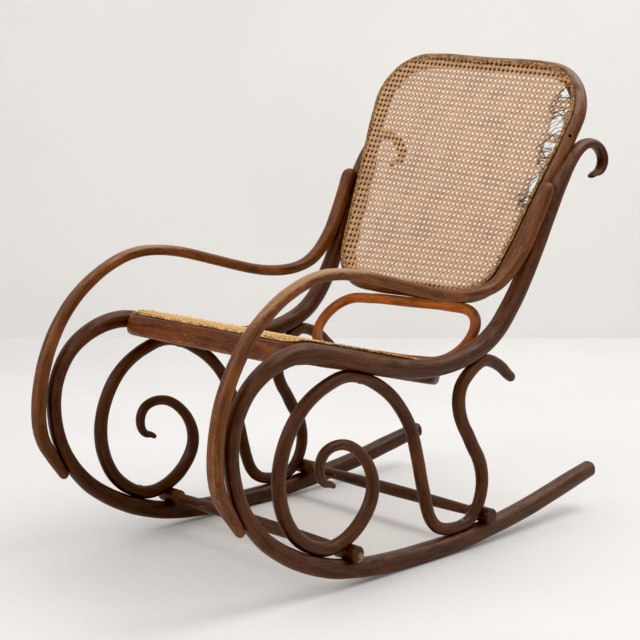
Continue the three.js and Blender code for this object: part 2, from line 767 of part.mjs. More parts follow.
const knobSeats = [1, -1].flatMap((side) => [frameRod(side, SEAT_GAP), scrollRod(side, SEAT_GAP)]);
addPiece('front_stretcher', carve(stretcher(frontPlace), knobSeats), WOOD_COLOR, WOOD_ROUGHNESS);
addPiece('rear_stretcher', carve(stretcher(rearPlace), knobSeats), WOOD_COLOR, WOOD_ROUGHNESS);

addPiece('seat_frame', seatRing(), WORN_COLOR, WOOD_ROUGHNESS);
const hoop = carve(hoopRing(), [seatRing(SEAT_GAP), backRing(SEAT_GAP)]);
addPiece('rear_hoop', hoop, WORN_COLOR, WOOD_ROUGHNESS);
addPiece('back_frame', backRing(), WORN_COLOR, WOOD_ROUGHNESS);

const seatLift = SEAT_RAIL_DEPTH / 2 + SEAT_GAP;
const seatEdge = SEAT_RAIL_WIDTH / 2;
const seatNet = folded(net(seatOutline(seatEdge - NET_OVERLAP), SEAT_NET_PITCH, bowed));
seatNet.applyMatrix4(seatPlane.matrix(seatLift));
addPiece('seat_cane', seatNet, CANE_COLOR, CANE_ROUGHNESS);
const binderOutline = withFold(seatOutline(seatEdge).map(bowed));
const seatBinder = binder(binderOutline, seatPlane, seatLift + CANE_THICKNESS + SEAT_GAP, dip);
addPiece('seat_binder', seatBinder, BINDER_COLOR, CANE_ROUGHNESS);

const backLift = BACK_RADIUS + SEAT_GAP;
const backNet = net(backOutline(-NET_OVERLAP), BACK_NET_PITCH, sagged);
backNet.applyMatrix4(backPlane.matrix(backLift));
addPiece('back_cane', backNet, CANE_COLOR, CANE_ROUGHNESS);
const backBinder = binder(backOutline(0).map(sagged), backPlane, backLift + CANE_THICKNESS + SEAT_GAP);
addPiece('back_binder', backBinder, BINDER_COLOR, CANE_ROUGHNESS);

// The floor is at z 0 and the box of the chair is centred over the origin
const box = new THREE.Box3().setFromObject(group);
const middle = box.getCenter(new THREE.Vector3());
group.children.forEach((piece) => piece.geometry.translate(-middle.x, -middle.y, -box.min.z));

export default group;
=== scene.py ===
import math
import random

import bpy
import numpy as np
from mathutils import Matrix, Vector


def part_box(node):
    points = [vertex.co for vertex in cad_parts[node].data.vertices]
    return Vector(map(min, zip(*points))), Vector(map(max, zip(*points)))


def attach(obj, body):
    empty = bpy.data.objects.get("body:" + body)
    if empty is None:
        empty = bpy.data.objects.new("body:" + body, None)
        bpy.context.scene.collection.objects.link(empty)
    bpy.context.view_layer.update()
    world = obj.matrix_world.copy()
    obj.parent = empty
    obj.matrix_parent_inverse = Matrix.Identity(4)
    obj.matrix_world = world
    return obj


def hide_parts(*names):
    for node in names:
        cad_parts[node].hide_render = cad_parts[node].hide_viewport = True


bl_info = {
    "name": "Bentwood rocking chair",
    "version": (1, 0, 0),
    "blender": (4, 5, 0),
    "location": "View3D > Sidebar > Rocking Chair",
    "description": "Smooth bent rods, woven cane and worn finishes for a bentwood rocking chair",
    "category": "Object",
}

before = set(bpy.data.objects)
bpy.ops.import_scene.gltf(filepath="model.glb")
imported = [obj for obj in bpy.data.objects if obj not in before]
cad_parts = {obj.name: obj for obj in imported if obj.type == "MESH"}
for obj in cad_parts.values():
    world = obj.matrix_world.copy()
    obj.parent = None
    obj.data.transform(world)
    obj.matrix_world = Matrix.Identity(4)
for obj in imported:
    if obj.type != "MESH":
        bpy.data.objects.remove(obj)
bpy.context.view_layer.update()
SIDES = ("left", "right")
MM = 0.001
X = np.array([1.0, 0.0, 0.0])


# Settings that a user would change

def length_setting(name, description, default, low, high):
    """A length, in metres."""
    return bpy.props.FloatProperty(name=name, description=description, default=default, min=low,
                                   max=high, subtype="DISTANCE", unit="LENGTH")


def color_setting(name, description, default):
    """The colour of one finish."""
    return bpy.props.FloatVectorProperty(name=name, description=description, default=default,
                                         size=3, min=0, max=1, subtype="COLOR")


class RodSettings(bpy.types.PropertyGroup):
    """Mesh and hand-made look of the bent rods."""

    spacing: length_setting("Section spacing", "Distance between two sections of a rod",
                            5 * MM, 1 * MM, 20 * MM)
    sides: bpy.props.IntProperty(
        name="Sides", description="Corners of a rod's section", default=24, min=8, max=64)
    unevenness: length_setting("Unevenness", "How far a hand-sanded rod strays from its true size",
                               0.35 * MM, 0, 2 * MM)


class CaneSettings(bpy.types.PropertyGroup):
    """Sizes of the six-way cane weave."""

    pitch: length_setting("Pitch", "Distance between two open eyes of the weave",
                          12.35 * MM, 8 * MM, 30 * MM)
    upright_offset: length_setting(
        "Upright offset", "From the middle of an upright pair to each strand",
        1.75 * MM, 1 * MM, 4 * MM)
    row_offset: length_setting("Row offset", "From the middle of a level pair to each strand",
                               1.35 * MM, 1 * MM, 4 * MM)
    strand_width: length_setting("Strand width", "Width of an upright or level strand",
                                 2.4 * MM, 1 * MM, 5 * MM)
    rising_width: length_setting("Rising width", "Width of a diagonal that rises to the left",
                                 3.6 * MM, 1 * MM, 5 * MM)
    falling_width: length_setting("Falling width", "Width of a diagonal that falls to the left",
                                  2.3 * MM, 1 * MM, 5 * MM)
    thickness: length_setting("Thickness", "Thickness of a strand", 0.75 * MM, 0.2 * MM, 2 * MM)
    back_row_slope: bpy.props.FloatProperty(
        name="Row slope",
        description="How steeply the upper rows of the back have sunk to the left",
        default=0.082, min=0, max=0.2)


class FinishSettings(bpy.types.PropertyGroup):
    """Colours of the wood and the cane."""

    dark_wood: color_setting("Dark wood", "Stain of the side frames, scrolls and stretchers",
                             (0.064, 0.0192, 0.0051))
    arm_wood: color_setting("Arm wood", "Stain of the arms and the back ring",
                            (0.122, 0.037, 0.0090))
    hoop_wood: color_setting("Hoop wood", "Stain of the hoop behind the seat",
                             (0.25, 0.063, 0.0075))
    rubbed_wood: color_setting("Rubbed wood", "Wood where hands have rubbed the stain away",
                               (0.42, 0.218, 0.098))
    seat_wood: color_setting("Seat wood", "Stain of the seat ring", (0.110, 0.027, 0.0055))
    back_cane: color_setting("Back cane", "Cane of the back", (0.80, 0.435, 0.222))
    seat_cane: color_setting("Seat cane", "Cane of the seat", (1.0, 0.53, 0.225))
    binder: color_setting("Binder", "Flat cane over the edge of the back's weave",
                          (0.62, 0.315, 0.110))
    ties: color_setting("Ties", "Loops that hold the back's binder down", (0.26, 0.120, 0.045))
    torn_cane: color_setting("Torn cane", "Strands that hang across the torn places",
                             (0.070, 0.038, 0.020))


class StageSettings(bpy.types.PropertyGroup):
    """Floor, wall and camera."""

    floor_color: color_setting("Floor", "Colour of the painted floor", (0.82, 0.802, 0.785))
    wall_color: color_setting("Wall", "Colour of the wall", (0.79, 0.770, 0.742))
    wall_distance: length_setting("Wall distance", "From the camera to the foot of the wall",
                                  5.25, 3, 12)
    lens: bpy.props.FloatProperty(
        name="Lens", description="Focal length on a 36 mm sensor",
        default=84.7, min=20, max=200)


class ChairSettings(bpy.types.PropertyGroup):
    """All settings of the rocking chair."""

    rods: bpy.props.PointerProperty(type=RodSettings)
    cane: bpy.props.PointerProperty(type=CaneSettings)
    finish: bpy.props.PointerProperty(type=FinishSettings)
    stage: bpy.props.PointerProperty(type=StageSettings)


# Reading rods out of the frame

EDGES = ((0, 1), (1, 2), (2, 0))        # of a triangle
BELL_REACH = 3                          # times its width, where the blur's bell is cut off
SMALLEST_LENGTH = 1e-12                 # keeps a division by a length finite
SMALLEST_BEND = 1e-7                    # keeps the radius of a straight stretch finite
BLUR_LEVELS = (8 * MM, 16 * MM, 32 * MM, 64 * MM)
BLUR_SHARE = 0.14                       # of the bend radius, over which the corners are eased
SIZE_BLUR = 10 * MM
AIM_SHARES = (0.55, 1.0)                # of the reach, where the direction of a tip is read
AIM_ROUNDS = 5
FEWEST_CORNERS = 6                      # of a section, under which the rod has ended
FEWEST_SECTIONS = 9                     # of a closed rod, before it can meet its start
MEETING_SHARE = 0.7                     # of the spacing, at which it has met its start


def unit(vectors):
    """The same vectors at length one."""
    return vectors / np.maximum(np.linalg.norm(vectors, axis=-1, keepdims=True),
                                SMALLEST_LENGTH)


def run_along(line):
    """Length along a line up to each of its points."""
    return np.concatenate([[0], np.cumsum(np.linalg.norm(np.diff(line, axis=0), axis=1))])


def facets(node):
    """Corners of a frame node's facets, in metres."""
    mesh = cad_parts[node].data
    mesh.calc_loop_triangles()
    corners = np.array([v.co for v in mesh.vertices])
    return corners[np.array([t.vertices for t in mesh.loop_triangles])]


def flat_normal(points):
    """Normal of the plane that points lie closest to."""
    return np.linalg.eigh(np.cov(points.T))[1][:, 0]


def cut(triangles, centre, along, reach):
    """Where the plane across a rod meets its facets, within reach of its centre."""
    side = (triangles - centre) @ along
    points = []
    for a, b in EDGES:
        crossing = side[:, a] * side[:, b] < 0
        share = side[crossing, a] / (side[crossing, a] - side[crossing, b])
        start = triangles[crossing, a]
        points.append(start + (triangles[crossing, b] - start) * share[:, None])
    points = np.concatenate(points)
    return points[np.linalg.norm(points - centre, axis=1) < reach]


def blurred(values, closed, width):
    """Values along a rod averaged over a bell of `width` samples; open ends stay put."""
    reach = min(math.ceil(BELL_REACH * width), len(values) - 2)
    if closed:
        padded = np.concatenate([values[-reach:], values, values[:reach]])
    else:
        head = 2 * values[0] - values[reach:0:-1]
        tail = 2 * values[-1] - values[-2:-reach - 2:-1]
        padded = np.concatenate([head, values, tail])
    bell = np.exp(-0.5 * (np.arange(-reach, reach + 1) / width) ** 2)
    bell /= bell.sum()
    return np.stack([np.convolve(column, bell, "valid") for column in padded.T], axis=1)


def sharpened(values, closed, width):
    """A blur that doesn't pull bends inward."""
    once = blurred(values, closed, width)
    return 2 * once - blurred(once, closed, width)


def eased(centres, closed, spacing, least):
    """Centre line without the corners of the facets: gentle bends are eased over more length,
    and all over at least the given one."""
    levels = np.stack([sharpened(centres, closed, level / spacing) for level in BLUR_LEVELS])
    broad = blurred(centres, closed, BLUR_LEVELS[2] / spacing)
    bend = np.roll(broad, -1, 0) + np.roll(broad, 1, 0) - 2 * broad
    if not closed:
        bend[0], bend[-1] = bend[1], bend[-2]
    bend = np.maximum(np.linalg.norm(bend, axis=1, keepdims=True), SMALLEST_BEND)
    length = np.clip(BLUR_SHARE * spacing ** 2 / bend, least, BLUR_LEVELS[-1])
    place = blurred(np.log2(length / BLUR_LEVELS[0]), closed, BLUR_LEVELS[1] / spacing)
    place = np.clip(place, 0, len(BLUR_LEVELS) - 1)[:, 0]
    low = np.minimum(place.astype(int), len(BLUR_LEVELS) - 2)
    share = (place - low)[:, None]
    index = np.arange(len(centres))
    return levels[low, index] * (1 - share) + levels[low + 1, index] * share


class Rod:
    """Centre line and half sizes of a bent rod, end to end or all the way round. `flat` is the
    normal of the plane that it is bent in, and `ends` the lengths of its rounded ends."""

    def __init__(self, centres, halves, flat, closed, ends=(0, 0)):
        self.centres = centres
        self.halves = halves
        self.flat = flat
        self.closed = closed
        self.ends = ends
        along = np.roll(centres, -1, 0) - np.roll(centres, 1, 0)
        if not closed:
            along[0], along[-1] = centres[1] - centres[0], centres[-1] - centres[-2]
        self.along = unit(along)
        self.across = unit(flat - self.along * (self.along @ flat)[:, None])
        self.up = np.cross(self.along, self.across)
        self.run = run_along(centres)

    def even(self):
        """The same rod with its middling half sizes all along."""
        halves = np.broadcast_to(np.median(self.halves, axis=0), self.halves.shape)
        return Rod(self.centres, halves, self.flat, self.closed, self.ends)


def measured(ring, place, along, flat):
    """Middle of a cut across a rod, and its half sizes out of the flat and in it."""
    across = unit(flat - along * (along @ flat))
    up = np.cross(along, across)
    a, b = (ring - place) @ across, (ring - place) @ up
    middle = place + across * (a.max() + a.min()) / 2 + up * (b.max() + b.min()) / 2
    return middle, ((a.max() - a.min()) / 2, (b.max() - b.min()) / 2)


def tip_of(triangles, points, reach, flat):
    """The rearmost tip of an open rod, on its middle line, and the way into the rod."""
    tip = points[points[:, 1].argmax()]
    near = points[np.linalg.norm(points - tip, axis=1) < 2 * reach]
    way = unit(near.mean(0) - tip)
    for _ in range(AIM_ROUNDS):
        middles = []
        for share in AIM_SHARES:
            place = tip + way * reach * share
            middles.append(measured(cut(triangles, place, way, reach), place, way, flat)[0])
        way = unit(middles[1] - middles[0])
        tip = middles[0] + way * ((near - middles[0]) @ way).min()
    return tip, way


def trace(node, spacing, reach, closed=False, domes=(0, 0), least=BLUR_LEVELS[0]):
    """Follows a bent rod of the frame section by section. `domes` are the lengths of the
    rounded ends as shares of the rod's half thickness."""
    triangles = facets(node)
    points = triangles.reshape(-1, 3)
    flat = flat_normal(points)
    if closed:
        place = points[points[:, 0].argmax()]
        place = points[np.linalg.norm(points - place, axis=1) < reach].mean(0)
        along = unit(np.cross(flat, place - points.mean(0)))
    else:
        tip, along = tip_of(triangles, points, reach, flat)
        place = tip + along * spacing / 2
    centres, halves = [], []
    while True:
        ring = cut(triangles, place, along, reach)
        if len(ring) < FEWEST_CORNERS:
            break
        middle, half = measured(ring, place, along, flat)
        if closed and len(centres) > FEWEST_SECTIONS:
            if np.linalg.norm(middle - centres[0]) < MEETING_SHARE * spacing:
                break
        centres.append(middle)
        halves.append(half)
        if len(centres) > 1:
            along = unit(along + unit(centres[-1] - centres[-2]))
        place = middle + along * spacing
    centres, halves = np.array(centres), np.array(halves)
    ends = (0, 0)
    if not closed:
        run = run_along(centres) + np.linalg.norm(centres[0] - tip)
        near = points[np.linalg.norm(points - centres[-1], axis=1) < reach]
        total = run[-1] + max(0, ((near - centres[-1]) @ along).max())
        inside = int(reach / 2 / spacing)
        lengths = domes[0] * halves[inside, 1], domes[1] * halves[-inside, 1]
        kept = (run >= lengths[0]) & (run <= total - lengths[1])
        centres, halves, run = centres[kept], halves[kept], run[kept]
        ends = (run[0], total - run[-1])
    halves = blurred(halves, closed, SIZE_BLUR / spacing)
    return Rod(eased(centres, closed, spacing, least), halves, flat, closed, ends)


def stretches(wanted, least):
    """Start and stop of each stretch of more than `least` places where a row of truths holds."""
    bounds = np.flatnonzero(np.diff(np.concatenate([[0], wanted.astype(int), [0]])))
    return [(start, stop) for start, stop in bounds.reshape(-1, 2) if stop - start > least]


# Meshes

DOME_STEPS = 5
DOME_TURN = math.radians(86)            # how far round the rings of a rounded end go
SWELLS = 6                              # of a hand-sanded rod, laid over each other
SWELL_LENGTHS = (45, 190)               # in millimetres
SWELL_SHARE = 1 / 3                     # of the unevenness that each swell adds
SLENDER = 12 * MM                       # half thickness under which a rod is more even


def add_piece(name, points, faces, finish, attributes=None, node=None, slot=None):
    """A mesh object that rides on the chair and may stand for a frame node."""
    mesh = bpy.data.meshes.new(name)
    mesh.from_pydata(np.asarray(points).tolist(), [], faces)
    for key, values in (attributes or {}).items():
        values = np.asarray(values, np.float32)
        kind, field = ("FLOAT_VECTOR", "vector") if values.ndim == 2 else ("FLOAT", "value")
        mesh.attributes.new(key, kind, "POINT").data.foreach_set(field, values.ravel())
    mesh.shade_smooth()
    mesh.materials.append(finish)
    piece = bpy.data.objects.new(name, mesh)
    bpy.context.scene.collection.objects.link(piece)
    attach(piece, "root")
    if node:
        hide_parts(node)
    return piece


def round_section(sides, squareness=2.0):
    """Corners of a section as shares of its half sizes: 2 is round, more is squarer."""
    turn = np.arange(sides) / sides * 2 * math.pi
    shape = np.stack([np.cos(turn), np.sin(turn)], axis=1)
    return np.sign(shape) * np.abs(shape) ** (2 / squareness)


def ring_faces(rings, sides, closed=False):
    """Quads between one ring of corners and the next."""
    faces = []
    for i in range(rings if closed else rings - 1):
        here, there = i * sides, (i + 1) % rings * sides
        for j in range(sides):
            k = (j + 1) % sides
            faces.append((here + j, here + k, there + k, there + j))
    return faces


def cap(ring, sides):
    """The face that closes a tube at one of its rings."""
    return tuple(range(ring * sides, (ring + 1) * sides))


def skin(name, points, grain, wear, painted_shade_and_grime, finish, closed=False, **links):
    """A tube over rings of corners, with each corner's place in the wood, wear, dirt and painted
    shade.
    """
    rings, sides = points.shape[:2]
    faces = ring_faces(rings, sides, closed)
    if not closed:
        faces += [cap(0, sides)[::-1], cap(rings - 1, sides)]
    attributes = {"grain": grain.reshape(-1, 3), "wear": wear.ravel(), "painted_shade_and_grime": painted_shade_and_grime.ravel()}
    return add_piece(name, points.reshape(-1, 3), faces, finish, attributes, **links)


def domed(rod):
    """The stations of an open rod with a rounded end added at each tip."""
    start_reach, end_reach = rod.ends
    turns = np.linspace(0, DOME_TURN, DOME_STEPS + 1)[1:]
    sine, cosine = np.sin(turns)[:, None], np.cos(turns)[:, None]
    head = rod.centres[0] - rod.along[0] * start_reach * sine
    tail = rod.centres[-1] + rod.along[-1] * end_reach * sine
    centres = np.concatenate([head[::-1], rod.centres, tail])
    halves = np.concatenate([(rod.halves[0] * cosine)[::-1], rod.halves, rod.halves[-1] * cosine])
    run = np.concatenate([-start_reach * sine[::-1, 0], rod.run,
                          rod.run[-1] + end_reach * sine[:, 0]])
    added = ((DOME_STEPS, DOME_STEPS), (0, 0))
    return centres, halves, np.pad(rod.across, added, "edge"), np.pad(rod.up, added, "edge"), run


def unevenness(run, sides, amount, seed):
    """Slow swells along and round a rod at each corner."""
    rng = np.random.default_rng(seed)
    turn = np.arange(sides) / sides * 2 * math.pi
    total = np.zeros((len(run), sides))
    for _ in range(SWELLS):
        length = rng.uniform(*SWELL_LENGTHS) * MM
        lobes = rng.integers(0, 4)
        phase, roll = rng.uniform(0, 2 * math.pi, 2)
        total += np.sin(run / length * 2 * math.pi + phase)[:, None] * np.cos(lobes * turn + roll)
    return total * amount * SWELL_SHARE


def sweep(name, rod, settings, finish, wear, squareness=2.0, painted_shade_and_grime=None, seed=0, sides=None,
          **links):
    """Skins a rod. `wear` gives how rubbed each corner is from its place and facing, and
    the darkening, if given, how dark each corner is with painted shade and with grime."""
    sides = sides or settings.sides
    shape = round_section(sides, squareness)
    if rod.closed:
        centres, halves, across, up, run = rod.centres, rod.halves, rod.across, rod.up, rod.run
        waves = np.zeros((len(run), sides))
    else:
        centres, halves, across, up, run = domed(rod)
        waves = unevenness(run, sides, settings.unevenness, seed)
        waves *= np.clip(halves.min(1) / SLENDER, 0, 1)[:, None]
    facing = unit(across[:, None] * shape[:, 0, None] + up[:, None] * shape[:, 1, None])
    a = shape[:, 0] * (halves[:, :1] + waves)
    b = shape[:, 1] * (halves[:, 1:] + waves)
    points = centres[:, None] + across[:, None] * a[..., None] + up[:, None] * b[..., None]
    grain = np.stack([np.broadcast_to(run[:, None], a.shape), a, b], axis=2)
    share = np.broadcast_to((run / run[-1])[:, None], a.shape)
    # How dark each corner is painted: shade, and grime
    dirt = painted_shade_and_grime(facing, points) if painted_shade_and_grime else np.zeros(a.shape)
    return skin(name, points, grain, wear(share, facing, points), dirt, finish, rod.closed, **links)


# Node trees

class Graph:
    """Adds nodes to a tree; an input is a value or the socket that feeds it."""

    def __init__(self, tree):
        self.tree = tree

    def add(self, kind, inputs=None, **settings):
        node = self.tree.nodes.new(kind)
        for key, value in settings.items():
            setattr(node, key, value)
        for key, value in (inputs or {}).items():
            if isinstance(value, bpy.types.NodeSocket):
                self.tree.links.new(value, node.inputs[key])
            else:
                node.inputs[key].default_value = value
        return node

    def group(self, name, **inputs):
        """One of the shared groups, with its own values."""
        tree = bpy.data.node_groups.get(name) or GROUPS[name](name)
        return self.add("ShaderNodeGroup", inputs, node_tree=tree).outputs

    def maths(self, operation, *values, clamp=False):
        inputs = dict(enumerate(values))
        return self.add("ShaderNodeMath", inputs, operation=operation, use_clamp=clamp).outputs[0]

    def noise(self, vector, scale, detail, roughness, distortion=0.0):
        inputs = {"Vector": vector, "Scale": scale, "Detail": detail, "Roughness": roughness,
                  "Distortion": distortion}
        return self.add("ShaderNodeTexNoise", inputs).outputs["Fac"]

    def stretched(self, vector, scales, detail, roughness, distortion=0.0):
        """Noise with its own cycles per metre along a piece and both ways across it."""
        node = self.add("ShaderNodeVectorMath", {0: vector, 1: scales}, operation="MULTIPLY")
        return self.noise(node.outputs[0], 1.0, detail, roughness, distortion)

    def step(self, value, low, high, to_low=0.0, to_high=1.0):
        inputs = {"Value": value, "From Min": low, "From Max": high,
                  "To Min": to_low, "To Max": to_high}
        node = self.add("ShaderNodeMapRange", inputs, interpolation_type="SMOOTHSTEP")
        return node.outputs["Result"]

    def mix(self, factor, a, b):
        """A mix of two colours, through the node's colour sockets 6, 7 and, out, 2."""
        return self.add("ShaderNodeMix", {0: factor, 6: a, 7: b}, data_type="RGBA").outputs[2]

    def layered(self, base, color, layers):
        """Tones of a colour laid over a base. A layer is its mask, where the mask begins and is
        full, how much it covers there, and its tone as a factor of the colour."""
        for mask, low, high, most, tone in layers:
            base = self.mix(self.step(mask, low, high, 0.0, most), base, shade(color, tone))
        return base

    def attribute(self, name, output="Vector"):
        return self.add("ShaderNodeAttribute", attribute_name=name).outputs[output]

    def place(self):
        return self.add("ShaderNodeTexCoord").outputs["Object"]

    def height_of(self, vector):
        return self.add("ShaderNodeSeparateXYZ", {0: vector}).outputs["Z"]

    def bump(self, height, distance):
        inputs = {"Height": height, "Strength": BUMP_STRENGTH, "Distance": distance}
        return self.add("ShaderNodeBump", inputs).outputs[0]

    def principled(self, inputs):
        return self.add("ShaderNodeBsdfPrincipled", inputs).outputs[0]

    def finish(self, surface):
        self.add("ShaderNodeOutputMaterial", {"Surface": surface})


def new_group(name, inputs, outputs):
    """An empty shader node group of plain numbers, and the graph and ends to fill it with."""
    group = bpy.data.node_groups.new(name, "ShaderNodeTree")
    for key, default in inputs.items():
        socket = group.interface.new_socket(key, in_out="INPUT", socket_type="NodeSocketFloat")
        socket.default_value = default
    for key in outputs:
        group.interface.new_socket(key, in_out="OUTPUT", socket_type="NodeSocketFloat")
    graph = Graph(group)
    given = graph.add("NodeGroupInput").outputs
    result = graph.add("NodeGroupOutput").inputs
    return group, graph, given, result


# Noises of the wood: cycles per metre along the bend and both ways across it, detail,
# roughness, distortion
GRAIN_NOISES = {
    "Streaks": ((11, 190, 190), 5, 0.65, 0.5),
    "Mottle": ((8, 30, 30), 4, 0.62, 0.0),
    "Pores": ((70, 1500, 1500), 3, 0.70, 0.0),
    "Stain": ((17, 110, 110), 6, 0.72, 0.0),
}
RUB_NOISE = ((55, 190, 190), 6, 0.78)
SPECK_NOISE = ((210, 420, 420), 2, 0.5)
PATCH_NOISE = ((13, 40, 40), 2, 0.5)
DUST_AND_SHEEN_NOISE = ((24, 90, 90), 5, 0.7)
RUB_RAGGEDNESS = 0.9
# Where a mask begins and where it is full
RUB_STEP = (0.74, 1.14)
SPECK_STEP = (0.66, 0.73)
PATCH_STEP = (0.40, 0.60)
DUST_AND_SHEEN_STEP = (0.33, 0.64)
STREAK_STEP = (0.36, 0.66)
FACING_UP = (-0.15, 0.9)                # upward share of the normal where dust and painted sheen begin and are full
SHEEN_HEIGHTS = (0.45, 0.85)         # metres, between which the painted sheen grows stronger
SHEEN_SHARES = (0.7, 1.5)            # of the dust and painted sheen, below and above them


def wood_grain_group(name):
    """Streaks that run along the bent wood, broad mottling, fine pores and dark stain."""
    group, graph, given, result = new_group(name, {"Seed": 0.0}, GRAIN_NOISES)
    shift = graph.add("ShaderNodeCombineXYZ", {0: given["Seed"]}).outputs[0]
    place = graph.add("ShaderNodeVectorMath", {0: graph.attribute("grain"), 1: shift},
                      operation="ADD").outputs[0]
    for key, noise in GRAIN_NOISES.items():
        group.links.new(graph.stretched(place, *noise), result[key])
    return group


def rubbed_group(name):
    """Where the stain is rubbed through, broken up along the grain, and small light chips."""
    group, graph, given, result = new_group(name, {"Amount": 1.0, "Chips": 1.0},
                                            ("Rubbed", "Chipped"))
    place = graph.attribute("grain")
    wear = graph.maths("MULTIPLY", graph.attribute("wear", "Fac"), given["Amount"])
    ragged = graph.maths("MULTIPLY", graph.stretched(place, *RUB_NOISE), RUB_RAGGEDNESS)
    rubbed = graph.step(graph.maths("ADD", wear, ragged), *RUB_STEP)
    group.links.new(rubbed, result["Rubbed"])
    specks = graph.step(graph.stretched(place, *SPECK_NOISE), *SPECK_STEP)
    patches = graph.step(graph.stretched(place, *PATCH_NOISE), *PATCH_STEP)
    spots = graph.maths("MULTIPLY", specks, patches)
    chips = graph.maths("MULTIPLY", spots, given["Chips"], clamp=True)
    group.links.new(chips, result["Chipped"])
    return group


def dust_and_sheen_group(name):
    """Dust on what faces up, partly painted sheen, which grows stronger higher up."""
    group, graph, given, result = new_group(name, {"Amount": 1.0}, ("Dust and sheen",))
    up = graph.height_of(graph.add("ShaderNodeNewGeometry").outputs["Normal"])
    broken = graph.step(graph.stretched(graph.attribute("grain"), *DUST_AND_SHEEN_NOISE), *DUST_AND_SHEEN_STEP)
    level = graph.maths("MULTIPLY", graph.step(up, *FACING_UP), broken)
    sheen_by_height = graph.step(graph.height_of(graph.place()), *SHEEN_HEIGHTS, *SHEEN_SHARES)
    amount = graph.maths("MULTIPLY", given["Amount"], sheen_by_height)
    group.links.new(graph.maths("MULTIPLY", level, amount, clamp=True), result["Dust and sheen"])
    return group


# The groups that several materials share, each built when a material first asks for it
GROUPS = {"Bent wood grain": wood_grain_group, "Rubbed stain": rubbed_group,
          "Dust and painted sheen": dust_and_sheen_group}


# Materials

BUMP_STRENGTH = 0.4
WOOD_RELIEF = 0.8 * MM
CANE_RELIEF = 0.15 * MM
RELIEF_SHARES = (0.35, 0.65)            # of the wood's pores and of its streaks
WOOD_SPECULAR = 0.24
STREAK_TONES = (0.55, 1.45)             # factors of a finish's colour
RUBBED_TONES = (0.40, 1.45)
BRIGHTEST_CANE = 1.38
DUST_AND_SHEEN_DULLNESS = 0.25
# Colour of dust and of painted sheen on what faces up
DUST_AND_SHEEN_COLOR = (0.33, 0.205, 0.145, 1)
CHIP_COLOR = (0.42, 0.25, 0.13, 1)
# Colour of painted shade and of grime, mixed in by each corner's attribute
PAINTED_SHADE_AND_GRIME_COLOR = (0.010, 0.0040, 0.0018, 1)
STEEL_COLOR = (0.30, 0.27, 0.23, 1)
RUST_COLOR = (0.075, 0.040, 0.024, 1)
# Painted shade of a screw hole's depth
HOLE_SHADE_COLOR = (0.003, 0.002, 0.0015, 1)
CRUMB_COLOR = (0.02, 0.009, 0.005, 1)
# Noises of the cane, as those of the wood
FIBRE_NOISE = ((25, 1800, 900), 4, 0.6)
JOINT_NOISE = ((40, 0.5, 0.5), 3, 0.6)
BREAK_NOISE = ((300, 300), 2, 0.6)      # its cycles along the strip are the material's own
# Noises that are the same all ways: cycles per metre, detail, roughness
STAIN_NOISE = (14, 5, 0.65)
RUST_NOISE = (900, 4, 0.6)
CRUMB_NOISE = (1400, 3, 0.6)
CLOUD_NOISE = (1.3, 4, 0.5)
SCUFF_NOISE = (60, 3, 0.6)


def new_material(name):
    """An empty material, and the graph to fill it with."""
    material = bpy.data.materials.get(name) or bpy.data.materials.new(name)
    material.use_nodes = True
    material.node_tree.nodes.clear()
    return material, Graph(material.node_tree)


def shade(color, factor):
    """A colour made darker or lighter, with its alpha."""
    return tuple(min(1.0, c * factor) for c in color) + (1.0,)


def wood_material(name, color, rubbed_color, seed, rubbed=1.0, dust_and_sheen=0.2, chips=1.0):
    """Old stained beech: grain along the bend, mottled stain, rubbed places, chips, dust with
    painted sheen, and painted shade with grime.
    """
    material, graph = new_material(name)
    grain = graph.group("Bent wood grain", Seed=seed)
    worn = graph.group("Rubbed stain", Amount=rubbed, Chips=chips)
    dust_and_sheen_mask = graph.group("Dust and painted sheen", Amount=dust_and_sheen)["Dust and sheen"]
    streaks, mottle = grain["Streaks"], grain["Mottle"]
    dark, light = (shade(color, tone) for tone in STREAK_TONES)
    base = graph.mix(graph.step(streaks, *STREAK_STEP), dark, light)
    base = graph.layered(base, color, ((mottle, 0.42, 0.68, 0.7, 2.0),
                                       (grain["Stain"], 0.48, 0.68, 0.7, 0.42)))
    dark, light = (shade(rubbed_color, tone) for tone in RUBBED_TONES)
    base = graph.mix(worn["Rubbed"], base, graph.mix(streaks, dark, light))
    # Dust, and painted sheen, on what faces up
    base = graph.mix(dust_and_sheen_mask, base, DUST_AND_SHEEN_COLOR)
    base = graph.mix(worn["Chipped"], base, CHIP_COLOR)
    # Painted shade and grime, as much as each corner was given
    base = graph.mix(graph.attribute("painted_shade_and_grime", "Fac"), base, PAINTED_SHADE_AND_GRIME_COLOR)
    dull = graph.maths("ADD", graph.step(mottle, 0.3, 0.7, 0.34, 0.50),
                       graph.maths("MULTIPLY", dust_and_sheen_mask, DUST_AND_SHEEN_DULLNESS), clamp=True)
    relief = graph.maths("ADD", graph.maths("MULTIPLY", grain["Pores"], RELIEF_SHARES[0]),
                         graph.maths("MULTIPLY", streaks, RELIEF_SHARES[1]))
    graph.finish(graph.principled({
        "Base Color": base, "Roughness": dull, "Normal": graph.bump(relief, WOOD_RELIEF),
        "Specular IOR Level": WOOD_SPECULAR}))
    return material


